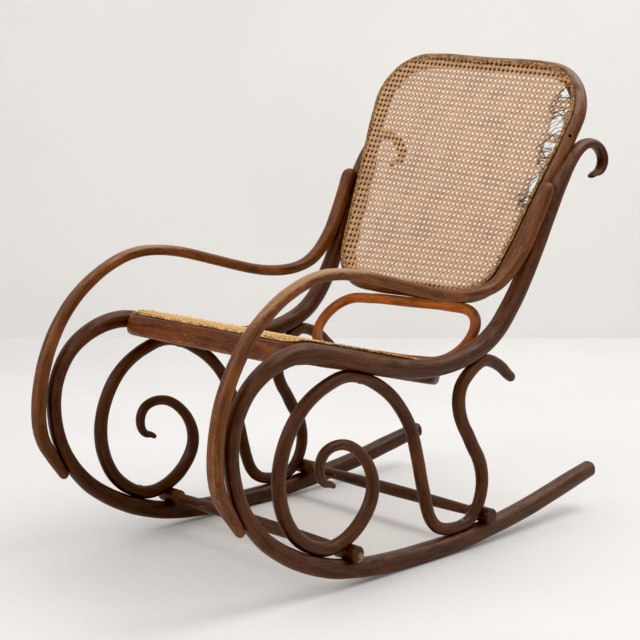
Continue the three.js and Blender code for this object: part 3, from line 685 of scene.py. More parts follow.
def cane_material(name, color, dirt, shine=0.3, edge_shade=0.8, breaks=0.0, dullest=0.48):
    """Split cane: long fibres, a tone of its own for each strand, painted shade along its edges,
    nodes, stains.
    `breaks` is how many times a metre it is frayed along its length."""
    material, graph = new_material(name)
    place = graph.attribute("grain")
    fibres = graph.stretched(place, *FIBRE_NOISE)
    joints = graph.stretched(place, *JOINT_NOISE)
    stain = graph.noise(graph.place(), *STAIN_NOISE)
    layers = [(fibres, 0.42, 0.68, 0.5, 0.6), (joints, 0.60, 0.72, dirt, 0.25)]
    if breaks:
        across, *roughness = BREAK_NOISE
        frayed = graph.stretched(place, (breaks, *across), *roughness)
        layers.append((frayed, 0.46, 0.56, 0.9, 0.12))
    layers.append((stain, 0.52, 0.70, dirt, 0.55))
    # Painted shade along the edges of each strand
    layers.append((graph.attribute("edge", "Fac"), 0.38, 0.85, edge_shade, 0.10))
    base = graph.mix(graph.attribute("tone", "Fac"), shade(color, dullest),
                     shade(color, BRIGHTEST_CANE))
    graph.finish(graph.principled({
        "Base Color": graph.layered(base, color, layers),
        "Roughness": graph.step(fibres, 0.3, 0.7, 0.45, 0.68),
        "Normal": graph.bump(fibres, CANE_RELIEF), "Specular IOR Level": shine}))
    return material


def screw_material():
    """Dulled steel with rust on it."""
    material, graph = new_material("Dull steel")
    rust = graph.step(graph.noise(graph.place(), *RUST_NOISE), 0.42, 0.62)
    graph.finish(graph.principled({
        "Base Color": graph.mix(rust, STEEL_COLOR, RUST_COLOR),
        "Roughness": graph.step(rust, 0, 1, 0.38, 0.8),
        "Metallic": graph.step(rust, 0, 1, 0.9, 0.2)}))
    return material


def hole_shade_material():
    """Painted shade inside a screw hole: black, with a few crumbs of wood."""
    material, graph = new_material("Screw hole")
    crumbs = graph.step(graph.noise(graph.place(), *CRUMB_NOISE), 0.52, 0.66)
    graph.finish(graph.principled({
        "Base Color": graph.mix(crumbs, HOLE_SHADE_COLOR, CRUMB_COLOR), "Roughness": 0.9,
        "Specular IOR Level": 0.05}))
    return material


# Wear of each rod: how rubbed a corner is, from its share of the length, its facing and place

# Rubbed places of an arm: how much, and their middle and reach as shares of its length
HAND_RUBS = ((0.85, 0.53, 0.10), (0.42, 0.67, 0.08), (0.25, 0.38, 0.06))
KNEE_RUB = (0.90, 0.10)                 # middle and reach
RIGHT_ARM_USE = 0.45                    # how rubbed the right arm is, where the left is 1
RUNNER_EDGE = 0.12                      # metres, up to where the runner is scuffed
SEAT_EDGE = (0.25, 0.08)                # metres in front of the middle, and over how many more
ARM_WEARS = (0.06, 0.88, 0.34)          # everywhere, under the hands and at the knees
FRAME_WEARS = (0.05, 0.15, 0.16)        # everywhere, under the runner and towards the front
SEAT_WEARS = (0.10, 0.30)               # everywhere and at the front edge
HOOP_WEARS = (0.10, 0.28)               # everywhere and on its upper side
EVEN_WEAR = 0.12
LOW_SHADE_AND_GRIME = (0.06, 0.42)                # most painted shade and grime near the floor on the left and on the right
SHADE_AND_GRIME_HEIGHT = 0.40                     # metres, below which it begins
SHADE_AND_GRIME_DEEPENING = 0.25                  # metres further down, where it is full


def bump_at(share, centre, width):
    """A soft bump along the rod."""
    return np.exp(-((share - centre) / width) ** 2)


def arm_wear(share, facing, points):
    """Hands rub the crest of an arm's front half, and knees the front of its foot."""
    top = np.clip(facing[..., 2] * 0.9 + 0.35, 0, 1)
    front = np.clip(0.35 - facing[..., 1] * 0.5 + facing[..., 0] * 0.35, 0, 1)
    use = 1.0 if points[..., 0].mean() > 0 else RIGHT_ARM_USE
    hand = sum(most * bump_at(share, middle, reach) for most, middle, reach in HAND_RUBS)
    knee = bump_at(share, *KNEE_RUB)
    least, hands, knees = ARM_WEARS
    return least + hands * use ** 0.5 * hand * top + knees * use ** 2 * knee * front


def frame_wear(share, facing, points):
    """Light rubbing along the runner's lower edge and on all that faces the front."""
    low = np.clip(1 - points[..., 2] / RUNNER_EDGE, 0, 1)
    down = np.clip(0.3 - facing[..., 2], 0, 1)
    least, under, ahead = FRAME_WEARS
    return least + under * low * down + ahead * np.clip(-facing[..., 1], 0, 1)


def seat_wear(share, facing, points):
    """The front edge of the seat ring is worn by legs."""
    front = np.clip(-(points[..., 1] + SEAT_EDGE[0]) / SEAT_EDGE[1], 0, 1)
    return SEAT_WEARS[0] + SEAT_WEARS[1] * front * np.clip(0.35 - facing[..., 2], 0, 1)


def hoop_wear(share, facing, points):
    """The hoop's upper side is rubbed."""
    return HOOP_WEARS[0] + HOOP_WEARS[1] * np.clip(facing[..., 2], 0, 1)


def even_wear(share, facing, points):
    """A little wear all over."""
    return np.full(facing.shape[:-1], EVEN_WEAR)


def floor_shade_and_grime(facing, points):
    """The right side is darker towards the floor, and the left a little: painted shade, and grime.
    """
    most = LOW_SHADE_AND_GRIME[0] if points[..., 0].mean() > 0 else LOW_SHADE_AND_GRIME[1]
    return most * np.clip((SHADE_AND_GRIME_HEIGHT - points[..., 2]) / SHADE_AND_GRIME_DEEPENING, 0, 1)


# Cane

PAIR_TONES = (0.45, 1.0)                # darkest and lightest strand of the pairs
DIAGONAL_TONES = (0.0, 0.45)            # and of the diagonals
PAIR_WAVE = 0.55                        # times the thickness, up and down at each crossing
DIAGONAL_WAVE = 1.05
SINKING_SHARE = 0.55                    # of the panel's height, above which the rows are fully sunk
DRIFT = 0.09 * MM                       # how far a strand strays from its line
SHORTEST_PART = 2                       # places that a part of a torn strand is longer than
END_STEPS = 5                           # of a torn end that bends away
END_LENGTHS = (1, 5)                    # millimetres
END_CURLS = ((-0.5, 0.9), (-0.8, 0.8))  # out of the weave and up it, as shares of its length
END_WIDTHS = (0.8, 0.35)                # shares of the strand's width along it
DIAGONAL_STEPS = 4                      # places of a diagonal in each pitch
TONE_SHIFT = 7                          # metres along the fibre noise from tone 0 to tone 1
LOOSE_STRANDS = 7                       # across each torn place
LOOSE_WIDTH = 1.15 * MM
LOOSE_THICKNESS = 0.6 * MM
LOOSE_STEPS = 9
LOOSE_AT_RIM = ((0.9, 1.5), (-0.9, 1.8))        # across and up, in half sizes of the torn place
LOOSE_AT_WEAVE = ((-0.7, -2.4), (-3.0, 0.6))
LOOSE_SAGS = (-4, 4)                    # millimetres along the weave
LOOSE_RISES = (2, 8)                    # millimetres out of it
LOOSE_LIFT = 1.5 * MM
LOOSE_OVERHANG = 1 * MM                 # past the rim, over which a strand is moved inside
LOOSE_SEED = 31
LOOP_DEPTH = 9.5 * MM                   # how far in from the rim the tying strands reach
LOOP_VARIATION = (0.8, 1.2)
LOOP_CLEAR = 1.3                        # times a torn place's size, inside which they are lost
LOOP_SEED = 17
LOOP_HEIGHTS = np.array([0.2, 1.2, 1.6, 0.9]) * MM      # from the rim to the weave
BINDER_SPREAD = 1.15                    # how much wider the flattened strip is than its node
BINDER_FLATNESS = 1.7                   # times its half thickness, how thick it is
BINDER_TONE = 0.5
TIE_STEPS = 7
TIE_CLEARANCE = (0.3 * MM, 1.2 * MM)    # beside the strip and above it
TIE_SKEW = (-0.8, 0.8)                  # millimetres along the strip


def box_middle(node):
    """Middle of the box of a frame node."""
    low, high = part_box(node)
    return (np.array(low) + np.array(high)) / 2


class Panel:
    """A rim that cane is woven inside of: its plane, its line of holes and its height."""

    def __init__(self, rim, net_node):
        normal = rim.flat
        net = facets(net_node).reshape(-1, 3)
        if normal @ (net.mean(0) - box_middle(net_node)) < 0 or normal[2] < 0:
            normal = -normal
        self.n = unit(normal)
        self.u = unit(X - self.n * (X @ self.n))
        self.v = np.cross(self.n, self.u)
        self.origin = rim.centres.mean(0)
        u, v, self.rise = self.place(rim.centres).T
        self.edge = np.stack([u, v], axis=1)

    def place(self, points):
        """Points as across, up and out of the panel, from its middle."""
        return (points - self.origin) @ np.stack([self.u, self.v, self.n], axis=1)

    def lift(self, v):
        """Height of the weave above the plane, which follows the rim where that bends."""
        order = np.argsort(self.edge[:, 1])
        return np.interp(v, self.edge[order, 1], self.rise[order])

    def depth(self, uv):
        """How far inside the rim a place lies, negative outside."""
        a = self.edge
        b = np.roll(a, -1, 0)
        run = unit(b - a)
        if np.sum(a[:, 0] * b[:, 1] - b[:, 0] * a[:, 1]) < 0:
            run = -run
        cross = run[:, 0] * (uv[:, None, 1] - a[:, 1]) - run[:, 1] * (uv[:, None, 0] - a[:, 0])
        return cross.min(1)

    def at(self, uv, height):
        """The point at a place of the panel and a height above the weave's own."""
        lift = self.lift(uv[:, 1]) + height
        return self.origin + uv[:, :1] * self.u + uv[:, 1:] * self.v + lift[:, None] * self.n


class StrandMesh:
    """Collects flat ribbons into one mesh."""

    SECTION = np.array([[-1, 0], [-0.62, 0.42], [0, 0.5], [0.62, 0.42], [1, 0], [0, -0.5]])
    EDGE = np.array([1, 0.35, 0, 0.35, 1, 1])   # how near each corner is to the strand's edge, where shade is painted

    def __init__(self):
        self.points, self.faces, self.grain, self.tone, self.edge = [], [], [], [], []
        self.rings = 0

    def ribbon(self, line, normal, width, thickness, tone):
        """One strand along a line; its width may change along it."""
        rings, sides = len(line), len(self.SECTION)
        along = np.gradient(line, axis=0)
        side = unit(np.cross(along, normal))
        up = unit(np.cross(side, along))
        width = np.broadcast_to(width, rings)
        a = self.SECTION[:, 0] * width[:, None] / 2
        b = np.broadcast_to(self.SECTION[:, 1] * thickness, a.shape)
        ring = line[:, None] + side[:, None] * a[..., None] + up[:, None] * b[..., None]
        run = np.broadcast_to(run_along(line)[:, None] + tone * TONE_SHIFT, a.shape)
        self.points.append(ring.reshape(-1, 3))
        self.grain.append(np.stack([run, a, b], axis=2).reshape(-1, 3))
        self.tone.append(np.full(rings * sides, tone))
        self.edge.append(np.tile(self.EDGE, rings))
        quads = np.array(ring_faces(rings, sides))[:, ::-1] + self.rings * sides
        self.faces += quads.tolist()
        self.faces += [cap(self.rings, sides), cap(self.rings + rings - 1, sides)[::-1]]
        self.rings += rings

    def piece(self, name, finish, **links):
        attributes = {"grain": np.concatenate(self.grain), "tone": np.concatenate(self.tone),
                      "edge": np.concatenate(self.edge)}
        return add_piece(name, np.concatenate(self.points), self.faces, finish, attributes, **links)


class Weave:
    """Six-way cane weave in a panel: pairs up, pairs across and single strands both ways."""

    def __init__(self, panel, settings, slope, torn, seed):
        self.panel = panel
        self.s = settings
        self.slope = slope
        self.torn = torn
        self.random = random.Random(seed)
        self.rng = np.random.default_rng(seed)
        self.reach = math.ceil(np.abs(panel.edge).max() / settings.pitch) + 1
        self.low, self.high = panel.edge[:, 1].min(), panel.edge[:, 1].max()

    def sunk(self, ab):
        """Where a place of the even lattice lies after the rows have sunk."""
        height = SINKING_SHARE * (self.high - self.low)
        share = np.clip((ab[:, 1] - self.low) / height, 0, 1)
        fall = self.slope * share * share * (3 - 2 * share)
        return np.stack([ab[:, 0], ab[:, 1] - fall * ab[:, 0]], axis=1)

    def pair_line(self, upright, index, offset):
        """Lattice places and heights of one strand of a pair."""
        pitch = self.s.pitch
        own, other = self.s.row_offset, self.s.upright_offset
        if upright:
            own, other = other, own
        steps = np.arange(-self.reach, self.reach + 1)[:, None] * pitch
        along = (steps + np.array([-other, other, pitch / 2])).ravel()
        wave = self.s.thickness * PAIR_WAVE * (1 if upright else -1)
        height = np.tile(np.array([-1, 1, 0]) * offset * wave, 2 * self.reach + 1)
        fixed = np.full(len(along), index * pitch + offset * own)
        ab = np.stack([fixed, along] if upright else [along, fixed], axis=1)
        return ab, height

    def diagonal_line(self, rising, index):
        """Lattice places and heights of one diagonal strand."""
        pitch = self.s.pitch
        last = DIAGONAL_STEPS * self.reach
        a = np.arange(-last, last + 1) * pitch / DIAGONAL_STEPS
        b = (a - (index + 0.5) * pitch) * (1 if rising else -1)
        wave = np.cos(2 * math.pi * a / pitch) * self.s.thickness * DIAGONAL_WAVE
        return np.stack([a, b], axis=1), -wave if rising else wave

    def whole(self, ab, height):
        """The stretch of a strand inside the rim, ended on the rim itself."""
        uv = self.sunk(ab)
        depth = self.panel.depth(uv)
        inside = np.flatnonzero(depth > 0)
        if len(inside) < 2:
            return None
        first, last = inside[0], inside[-1]
        places, heights = [uv[first:last + 1]], [height[first:last + 1]]
        for end, step in ((first, -1), (last, 1)):
            beyond = end + step
            if 0 <= beyond < len(uv):
                share = depth[end] / (depth[end] - depth[beyond])
                place = uv[end] + (uv[beyond] - uv[end]) * share
                where = 0 if step < 0 else len(places)
                places.insert(where, place[None])
                heights.insert(where, np.zeros(1))
        return np.concatenate(places), np.concatenate(heights)

    def parts(self, uv):
        """Splits a strand where the weave is torn: ranges, and whether each end is loose."""
        gone = np.zeros(len(uv), bool)
        for u, v, half_width, half_height in self.torn:
            gone |= ((uv[:, 0] - u) / half_width) ** 2 + ((uv[:, 1] - v) / half_height) ** 2 < 1
        return [(start, stop, start > 0, stop < len(uv))
                for start, stop in stretches(~gone, SHORTEST_PART)]

    def loose_end(self, line, forward):
        """A torn end that bends away past its last crossing."""
        tip, before = (line[-1], line[-2]) if forward else (line[0], line[1])
        way = unit(tip - before)
        curl = sum(side * self.random.uniform(*curls)
                   for side, curls in zip((self.panel.n, self.panel.v), END_CURLS))
        length = self.random.uniform(*END_LENGTHS) * MM
        steps = np.linspace(0, 1, END_STEPS)[1:, None]
        tail = tip + way * length * steps + curl * length * steps ** 2
        return np.concatenate([line, tail] if forward else [tail[::-1], line])

    def strand(self, mesh, ab, height, width, tones):
        """Adds one strand in as many parts as it is torn into."""
        found = self.whole(ab, height)
        if found is None:
            return
        uv, heights = found
        tone = self.random.uniform(*tones)
        drift = self.rng.normal(0, DRIFT, uv.shape)
        drift[[0, -1]] = 0
        uv = uv + drift
        narrowing = width * np.linspace(*END_WIDTHS, END_STEPS - 1)
        for start, stop, loose_start, loose_end in self.parts(uv):
            line = self.panel.at(uv[start:stop], heights[start:stop])
            widths = np.full(len(line), width)
            if loose_end:
                line = self.loose_end(line, True)
                widths = np.concatenate([widths, narrowing])
            if loose_start:
                line = self.loose_end(line, False)
                widths = np.concatenate([narrowing[::-1], widths])
            mesh.ribbon(line, self.panel.n, widths, self.s.thickness, tone)

    def build(self, name, finish, **links):
        """The four sets of strands, each a piece of its own."""
        sets = {key: StrandMesh() for key in ("uprights", "rows", "rising", "falling")}
        for i in range(-self.reach, self.reach + 1):
            for offset in (-1, 1):
                for key in ("uprights", "rows"):
                    self.strand(sets[key], *self.pair_line(key == "uprights", i, offset),
                                self.s.strand_width, PAIR_TONES)
        for i in range(-2 * self.reach, 2 * self.reach + 1):
            for key, width in (("rising", self.s.rising_width), ("falling", self.s.falling_width)):
                self.strand(sets[key], *self.diagonal_line(key == "rising", i), width,
                            DIAGONAL_TONES)
        for key, mesh in sets.items():
            mesh.piece(f"{name}_{key}", finish, **links)


def loose_strands(name, panel, torn, finish, slot):
    """Dark strands that still hang between the rim and the weave where it is torn."""
    mesh = StrandMesh()
    rng = random.Random(LOOSE_SEED)
    for u, v, half_width, half_height in torn:
        for _ in range(LOOSE_STRANDS):
            at_rim, at_weave = (
                np.array([u + half_width * rng.uniform(*across),
                          v + half_height * rng.uniform(*up)])
                for across, up in (LOOSE_AT_RIM, LOOSE_AT_WEAVE))
            share = np.linspace(0, 1, LOOSE_STEPS)
            arch = np.sin(share * math.pi)
            uv = at_rim + (at_weave - at_rim) * share[:, None]
            uv[:, 1] += arch * rng.uniform(*LOOSE_SAGS) * MM
            height = arch * rng.uniform(*LOOSE_RISES) * MM + LOOSE_LIFT
            outside = panel.depth(uv).min()
            if outside < -LOOSE_OVERHANG:
                uv[:, 0] += outside
            mesh.ribbon(panel.at(uv, height), panel.n, LOOSE_WIDTH, LOOSE_THICKNESS, rng.random())
    mesh.piece(name, finish, slot=slot)


def rim_loops(name, panel, settings, torn, finish, slot):
    """Strands that zigzag between the holes of the rim and the edge of the weave."""
    mesh = StrandMesh()
    rng = random.Random(LOOP_SEED)
    edge = np.concatenate([panel.edge, panel.edge[:1]])
    run = run_along(edge)
    places = np.linspace(0, run[-1], int(run[-1] / settings.pitch) + 1)
    holes = np.stack([np.interp(places, run, column) for column in edge.T], axis=1)
    share = np.linspace(0, 1, len(LOOP_HEIGHTS))[:, None]
    for here, there in zip(holes[:-1], holes[1:]):
        way = unit(there - here)
        inward = np.array([-way[1], way[0]])
        if inward @ here > 0:
            inward = -inward
        inner = (here + there) / 2 + inward * LOOP_DEPTH * rng.uniform(*LOOP_VARIATION)
        if any(math.hypot((inner[0] - u) / half_width, (inner[1] - v) / half_height) < LOOP_CLEAR
               for u, v, half_width, half_height in torn):
            continue
        for hole in (here, there):
            line = panel.at(hole + (inner - hole) * share, LOOP_HEIGHTS)
            mesh.ribbon(line, panel.n, settings.falling_width, settings.thickness, rng.random())
    mesh.piece(name, finish, slot=slot)


def binder_piece(name, rim, panel, settings, finish, tie_finish, packing=0, **links):
    """The flat cane strip round the weave, and the loops that tie it down at every hole.
    `packing` is how far the strip also fills the seam below it."""
    strip, ties = StrandMesh(), StrandMesh()
    rng = random.Random(len(rim.centres))
    line = np.concatenate([rim.centres, rim.centres[:2]])
    half_thick, half_width = sorted(np.median(rim.halves, axis=0))
    strip.ribbon(line - panel.n * packing / 2, panel.n, 2 * BINDER_SPREAD * half_width,
                 BINDER_FLATNESS * half_thick + packing, BINDER_TONE)
    total = rim.run[-1] + np.linalg.norm(rim.centres[0] - rim.centres[-1])
    count = int(total / settings.pitch)
    turn = np.linspace(0, math.pi, TIE_STEPS)[:, None]
    reach, height = half_width + TIE_CLEARANCE[0], half_thick + TIE_CLEARANCE[1]
    for i in range(count):
        k = int(np.searchsorted(rim.run, i * total / count)) % len(rim.centres)
        outward = unit(np.cross(rim.along[k], panel.n))
        skew = rim.along[k] * rng.uniform(*TIE_SKEW) * MM
        arch = (rim.centres[k] + outward * np.cos(turn) * reach
                + panel.n * (np.sin(turn) * height - half_thick) + skew * np.cos(turn))
        ties.ribbon(arch, outward, settings.strand_width, settings.thickness, rng.random())
    strip.piece(name, finish, **links)
    ties.piece(f"{name}_ties", tie_finish, slot=links["slot"])


# Screws

OBLIQUE = X + 0.3                       # a direction that no screw points in
SCREW_RADIUS = 4.3 * MM
SCREW_RISE = 1.6 * MM
SCREW_ROUNDING = 0.92                   # how far the head falls off towards its rim
SCREW_SINKING = 0.5 * MM
SCREW_FOOT = 2 * MM
SLOT_HALF_WIDTH = 0.55 * MM
SLOT_DEPTH = 0.8 * MM
SCREW_SIDES = 32
SCREW_RINGS = np.array([0.0, 0.12, 0.3, 0.5, 0.7, 0.88, 1.0])    # shares of the radius
HOLE_RADIUS = 3.2 * MM
HOLE_SIDES = 24
HOLE_RINGS = np.array([1.0, 0.86, 0.6, 0.1])
HOLE_RISES = np.array([0.35, 0.5, 0.1, 0.0]) * MM
CONTACT_SLACK = 3 * MM                  # room under which two rods count as fixed to each other
SHORTEST_CONTACT = 3                    # sections that a stretch of contact is longer than


def round_piece(name, place, facing, finish, sides, radii, rises, slot=0.0):
    """A round piece on the wood from its radii and rises, ring by ring, closed at its last
    ring, with a slot of the given depth across it."""
    side = unit(np.cross(facing, OBLIQUE))
    other = np.cross(facing, side)
    turn = np.arange(sides) / sides * 2 * math.pi
    a, b = np.outer(radii, np.cos(turn)), np.outer(radii, np.sin(turn))
    rise = rises[:, None] - slot * (np.abs(b) < SLOT_HALF_WIDTH)
    points = place + side * a[..., None] + other * b[..., None] + facing * rise[..., None]
    faces = ring_faces(len(radii), sides) + [cap(len(radii) - 1, sides)]
    return add_piece(name, points.reshape(-1, 3), faces, finish)


def screw(name, place, facing, finish):
    """Domed head with a slot, let into the wood at `place`."""
    rises = SCREW_RISE * np.sqrt(1 - SCREW_ROUNDING * SCREW_RINGS ** 2) - SCREW_SINKING
    return round_piece(name, place, facing, finish, SCREW_SIDES,
                       SCREW_RADIUS * np.append(SCREW_RINGS, SCREW_RINGS[-1]),
                       np.append(rises, rises[-1] - SCREW_FOOT), SLOT_DEPTH)


def open_hole(name, place, facing, finish):
    """A hole that a lost screw has left: a dished disc let into the wood, black with painted shade.
    """
    return round_piece(name, place, facing, finish, HOLE_SIDES, HOLE_RADIUS * HOLE_RINGS,
                       HOLE_RISES)


def contacts(rod, other):
    """Sections of two rods where one lies against the other, a pair for each stretch."""
    gap = np.linalg.norm(rod.centres[:, None] - other.centres[None], axis=2)
    nearest = gap.argmin(1)
    room = gap.min(1) - rod.halves[:, 1] - other.halves[nearest, 1]
    closest = [start + int(room[start:stop].argmin())
               for start, stop in stretches(room < CONTACT_SLACK, SHORTEST_CONTACT)]
    return [(k, nearest[k]) for k in closest]


# Operators

RODS = {}                               # the traced rods by node

# How each kind of rod is read: how far round its middle line, whether it is closed, its rounded
# ends as shares of its half thickness, and over what length it is eased at least
READINGS = {
    "side_frame": {"reach": 34 * MM, "domes": (0.35, 0.6)},
    "arm": {"reach": 26 * MM, "domes": (0.9, 0.8), "least": 30 * MM},
    "scroll": {"reach": 24 * MM, "domes": (0.8, 0.8)},
    "back_frame": {"reach": 34 * MM, "closed": True},
    "seat_frame": {"reach": 34 * MM, "closed": True},
    "rear_hoop": {"reach": 24 * MM, "closed": True},
    "back_binder": {"reach": 9 * MM, "closed": True},
    "seat_binder": {"reach": 9 * MM, "closed": True},
}

SQUARED = 2.5                           # how far frames and arms are from round, which is 2
SEAT_SQUARED = 3.2
SEAT_SIDES = 28
SEAM = 2.6 * MM                         # between the seat's binder and its rounded ring
RING_SHADE_FADE = 2.5 * MM              # inside the line of holes, over which the painted shade blackens the ring
RING_SHADE_DEPTH = 19.2 * MM            # behind the weave, where the painted shade ends
RING_SHADE_LEFT = 200 * MM              # left of the middle, where it ends too
RING_SHADE_BLEND = 12 * MM              # length over which it fades before both
KNOB_LENGTH = 56 * MM
KNOB_ROUNDING = 4 * MM
KNOB_STEPS = 7
NECK_LENGTH = 9 * MM
NECK_RADIUS = 10 * MM
BELLY_RADIUS = 13 * MM
BELLY_STEPS = 24
STRETCHER_SIDES = 40
SPLIT_DEPTH = 2 * MM                    # of the pale split in the front stretcher's left end
SPLIT_SHARES = (0.2, 0.5)               # of the knob's half thickness, how far forward and up
STRETCHER_WEARS = (0.15, 0.95)          # all over and in the split
# Painted shade and grime all over the stretchers
STRETCHER_SHADE_AND_GRIME = 0.25


def rod_of(node, settings):
    """The traced rod of a node, read once."""
    if node not in RODS:
        kind = node.removesuffix("_left").removesuffix("_right")
        RODS[node] = trace(node, settings.spacing, **READINGS[kind])
    return RODS[node]


def bend_pair(kind, chair, finish, wear, slot, seed, squareness=2.0):
    """Skins the left and the right rod of one kind."""
    for number, side in enumerate(SIDES):
        node = f"{kind}_{side}"
        sweep(f"{node}_bentwood", rod_of(node, chair.rods), chair.rods, finish, wear, squareness,
              floor_shade_and_grime, seed + number, node=node, slot=slot)


def rim_and_panel(part, settings):
    """The rim of the back or the seat, and the panel that is woven inside of it."""
    rim = rod_of(f"{part}_binder", settings)
    return rim, Panel(rim, f"{part}_cane")


class CHAIR_OT_side_frames(bpy.types.Operator):
    """Bend the two side frames: hook, post, front loop, seat rail and runner"""

    bl_idname = "chair.side_frames"
    bl_label = "Side frames"

    def execute(self, context):
        chair = context.scene.rocking_chair
        finish = wood_material("Dark stained beech", chair.finish.dark_wood,
                               chair.finish.rubbed_wood, seed=0, dust_and_sheen=0.34, chips=0.4)
        bend_pair("side_frame", chair, finish, frame_wear, "dark_wood", seed=10, squareness=SQUARED)
        return {"FINISHED"}


class CHAIR_OT_arms(bpy.types.Operator):
    """Bend the two arms, rubbed light where hands rest"""

    bl_idname = "chair.arms"
    bl_label = "Arms"

    def execute(self, context):
        chair = context.scene.rocking_chair
        finish = wood_material("Rubbed arm beech", chair.finish.arm_wood,
                               chair.finish.rubbed_wood, seed=3, dust_and_sheen=0.16, chips=0.8)
        bend_pair("arm", chair, finish, arm_wear, "worn_wood", seed=20, squareness=SQUARED)
        return {"FINISHED"}


class CHAIR_OT_scrolls(bpy.types.Operator):
    """Bend the two scroll supports with their spirals"""

    bl_idname = "chair.scrolls"
    bl_label = "Scrolls"

    def execute(self, context):
        chair = context.scene.rocking_chair
        finish = wood_material("Scroll beech", chair.finish.dark_wood, chair.finish.rubbed_wood,
                               seed=7, rubbed=0.8, dust_and_sheen=0.10, chips=0.3)
        bend_pair("scroll", chair, finish, even_wear, "dark_wood", seed=30)
        return {"FINISHED"}


class CHAIR_OT_back_frame(bpy.types.Operator):
    """Bend the ring of the back"""

    bl_idname = "chair.back_frame"
    bl_label = "Back ring"

    def execute(self, context):
        chair = context.scene.rocking_chair
        finish = wood_material("Back ring beech", chair.finish.arm_wood, chair.finish.rubbed_wood,
                               seed=11, dust_and_sheen=0.62, chips=0.7)
        panel = rim_and_panel("back", chair.rods)[1]

        def ring_painted_shade(facing, points):
            """Painted shade that shows black on the ring behind the weave."""
            place = panel.place(points.reshape(-1, 3))
            dark = (np.clip(panel.depth(place[:, :2]) / RING_SHADE_FADE, 0, 1)
                    * np.clip((RING_SHADE_DEPTH + place[:, 2]) / RING_SHADE_BLEND, 0, 1)
                    * np.clip((RING_SHADE_LEFT - place[:, 0]) / RING_SHADE_BLEND, 0, 1))
            return dark.reshape(points.shape[:-1])

        sweep("back_frame_bentwood", rod_of("back_frame", chair.rods), chair.rods, finish,
              even_wear, painted_shade_and_grime=ring_painted_shade, node="back_frame", slot="worn_wood")
        return {"FINISHED"}


class CHAIR_OT_rear_hoop(bpy.types.Operator):
    """Bend the hoop below the back"""

    bl_idname = "chair.rear_hoop"
    bl_label = "Rear hoop"

    def execute(self, context):
        chair = context.scene.rocking_chair
        finish = wood_material("Hoop beech", chair.finish.hoop_wood, chair.finish.rubbed_wood,
                               seed=13, dust_and_sheen=0.05)
        sweep("rear_hoop_bentwood", rod_of("rear_hoop", chair.rods), chair.rods, finish,
              hoop_wear, node="rear_hoop", slot="worn_wood")
        return {"FINISHED"}


class CHAIR_OT_seat_frame(bpy.types.Operator):
    """Bend the flat-sided ring of the seat"""

    bl_idname = "chair.seat_frame"
    bl_label = "Seat ring"

    def execute(self, context):
        chair = context.scene.rocking_chair
        finish = wood_material("Beech of the seat ring", chair.finish.seat_wood,
                               chair.finish.rubbed_wood, seed=17, dust_and_sheen=0.04, chips=1.3)
        sweep("seat_ring_bentwood", rod_of("seat_frame", chair.rods).even(), chair.rods, finish,
              seat_wear, SEAT_SQUARED, sides=SEAT_SIDES, node="seat_frame", slot="worn_wood")
        return {"FINISHED"}


def stretcher_profile(radius, half_length):
    """Half thickness along a turned stretcher, as (place, half thickness) from end to end."""
    knob = half_length - KNOB_LENGTH
    neck = knob - NECK_LENGTH
    turns = np.radians(np.linspace(0, 90, KNOB_STEPS))
    outer = [(half_length - KNOB_ROUNDING * (1 - math.cos(turn)),
              radius - KNOB_ROUNDING * (1 - math.sin(turn))) for turn in turns]
    inner = [(knob + KNOB_ROUNDING * (1 - math.sin(turn)),
              radius - KNOB_ROUNDING * (1 - math.cos(turn))) for turn in turns]
    swell = BELLY_RADIUS - NECK_RADIUS
    belly = [(share * neck, NECK_RADIUS + swell * math.cos(share * math.pi / 2))
             for share in np.linspace(1, 0, BELLY_STEPS)[1:]]
    half = outer + inner + [(neck, NECK_RADIUS)] + belly
    return np.array(half + [(-x, r) for x, r in half[-2::-1]])


class CHAIR_OT_stretchers(bpy.types.Operator):
    """Turn the two stretchers with their knobs"""

    bl_idname = "chair.stretchers"
    bl_label = "Stretchers"

    def execute(self, context):
        chair = context.scene.rocking_chair
        finish = wood_material("Turned beech", chair.finish.dark_wood, chair.finish.rubbed_wood,
                               seed=19, rubbed=0.9, dust_and_sheen=0.15)
        across, up = round_section(STRETCHER_SIDES).T
        for place in ("front", "rear"):
            node = f"{place}_stretcher"
            low, high = (np.array(corner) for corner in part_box(node))
            half_length, _, radius = (high - low) / 2
            profile = stretcher_profile(radius, half_length)
            x = np.broadcast_to(profile[:, :1], (len(profile), STRETCHER_SIDES))
            a, b = profile[:, 1:] * across, profile[:, 1:] * up
            points = (low + high) / 2 + np.stack([x, -a, b], axis=2)
            split = (across < SPLIT_SHARES[0]) & (up < SPLIT_SHARES[1])
            split = split & (x > half_length - SPLIT_DEPTH) & (place == "front")
            wear = np.where(split, STRETCHER_WEARS[1], STRETCHER_WEARS[0])
            skin(f"{node}_turned", points, np.stack([x, a, b], axis=2), wear,
                 np.full(wear.shape, STRETCHER_SHADE_AND_GRIME), finish, node=node, slot="dark_wood")
        return {"FINISHED"}


# Torn places of the back weave, in metres from the panel's middle: across, up, half width,
# half height
TORN_PLACES = (
    (0.2520, 0.170, 0.0115, 0.0155),
    (0.2510, 0.125, 0.0115, 0.0075),
    (0.2535, 0.099, 0.0145, 0.0185),
    (0.2520, 0.050, 0.0125, 0.0130),
    (0.2480, 0.022, 0.0070, 0.0060),
    (0.2470, -0.028, 0.0110, 0.0235),
    (0.2440, -0.067, 0.0070, 0.0080),
)


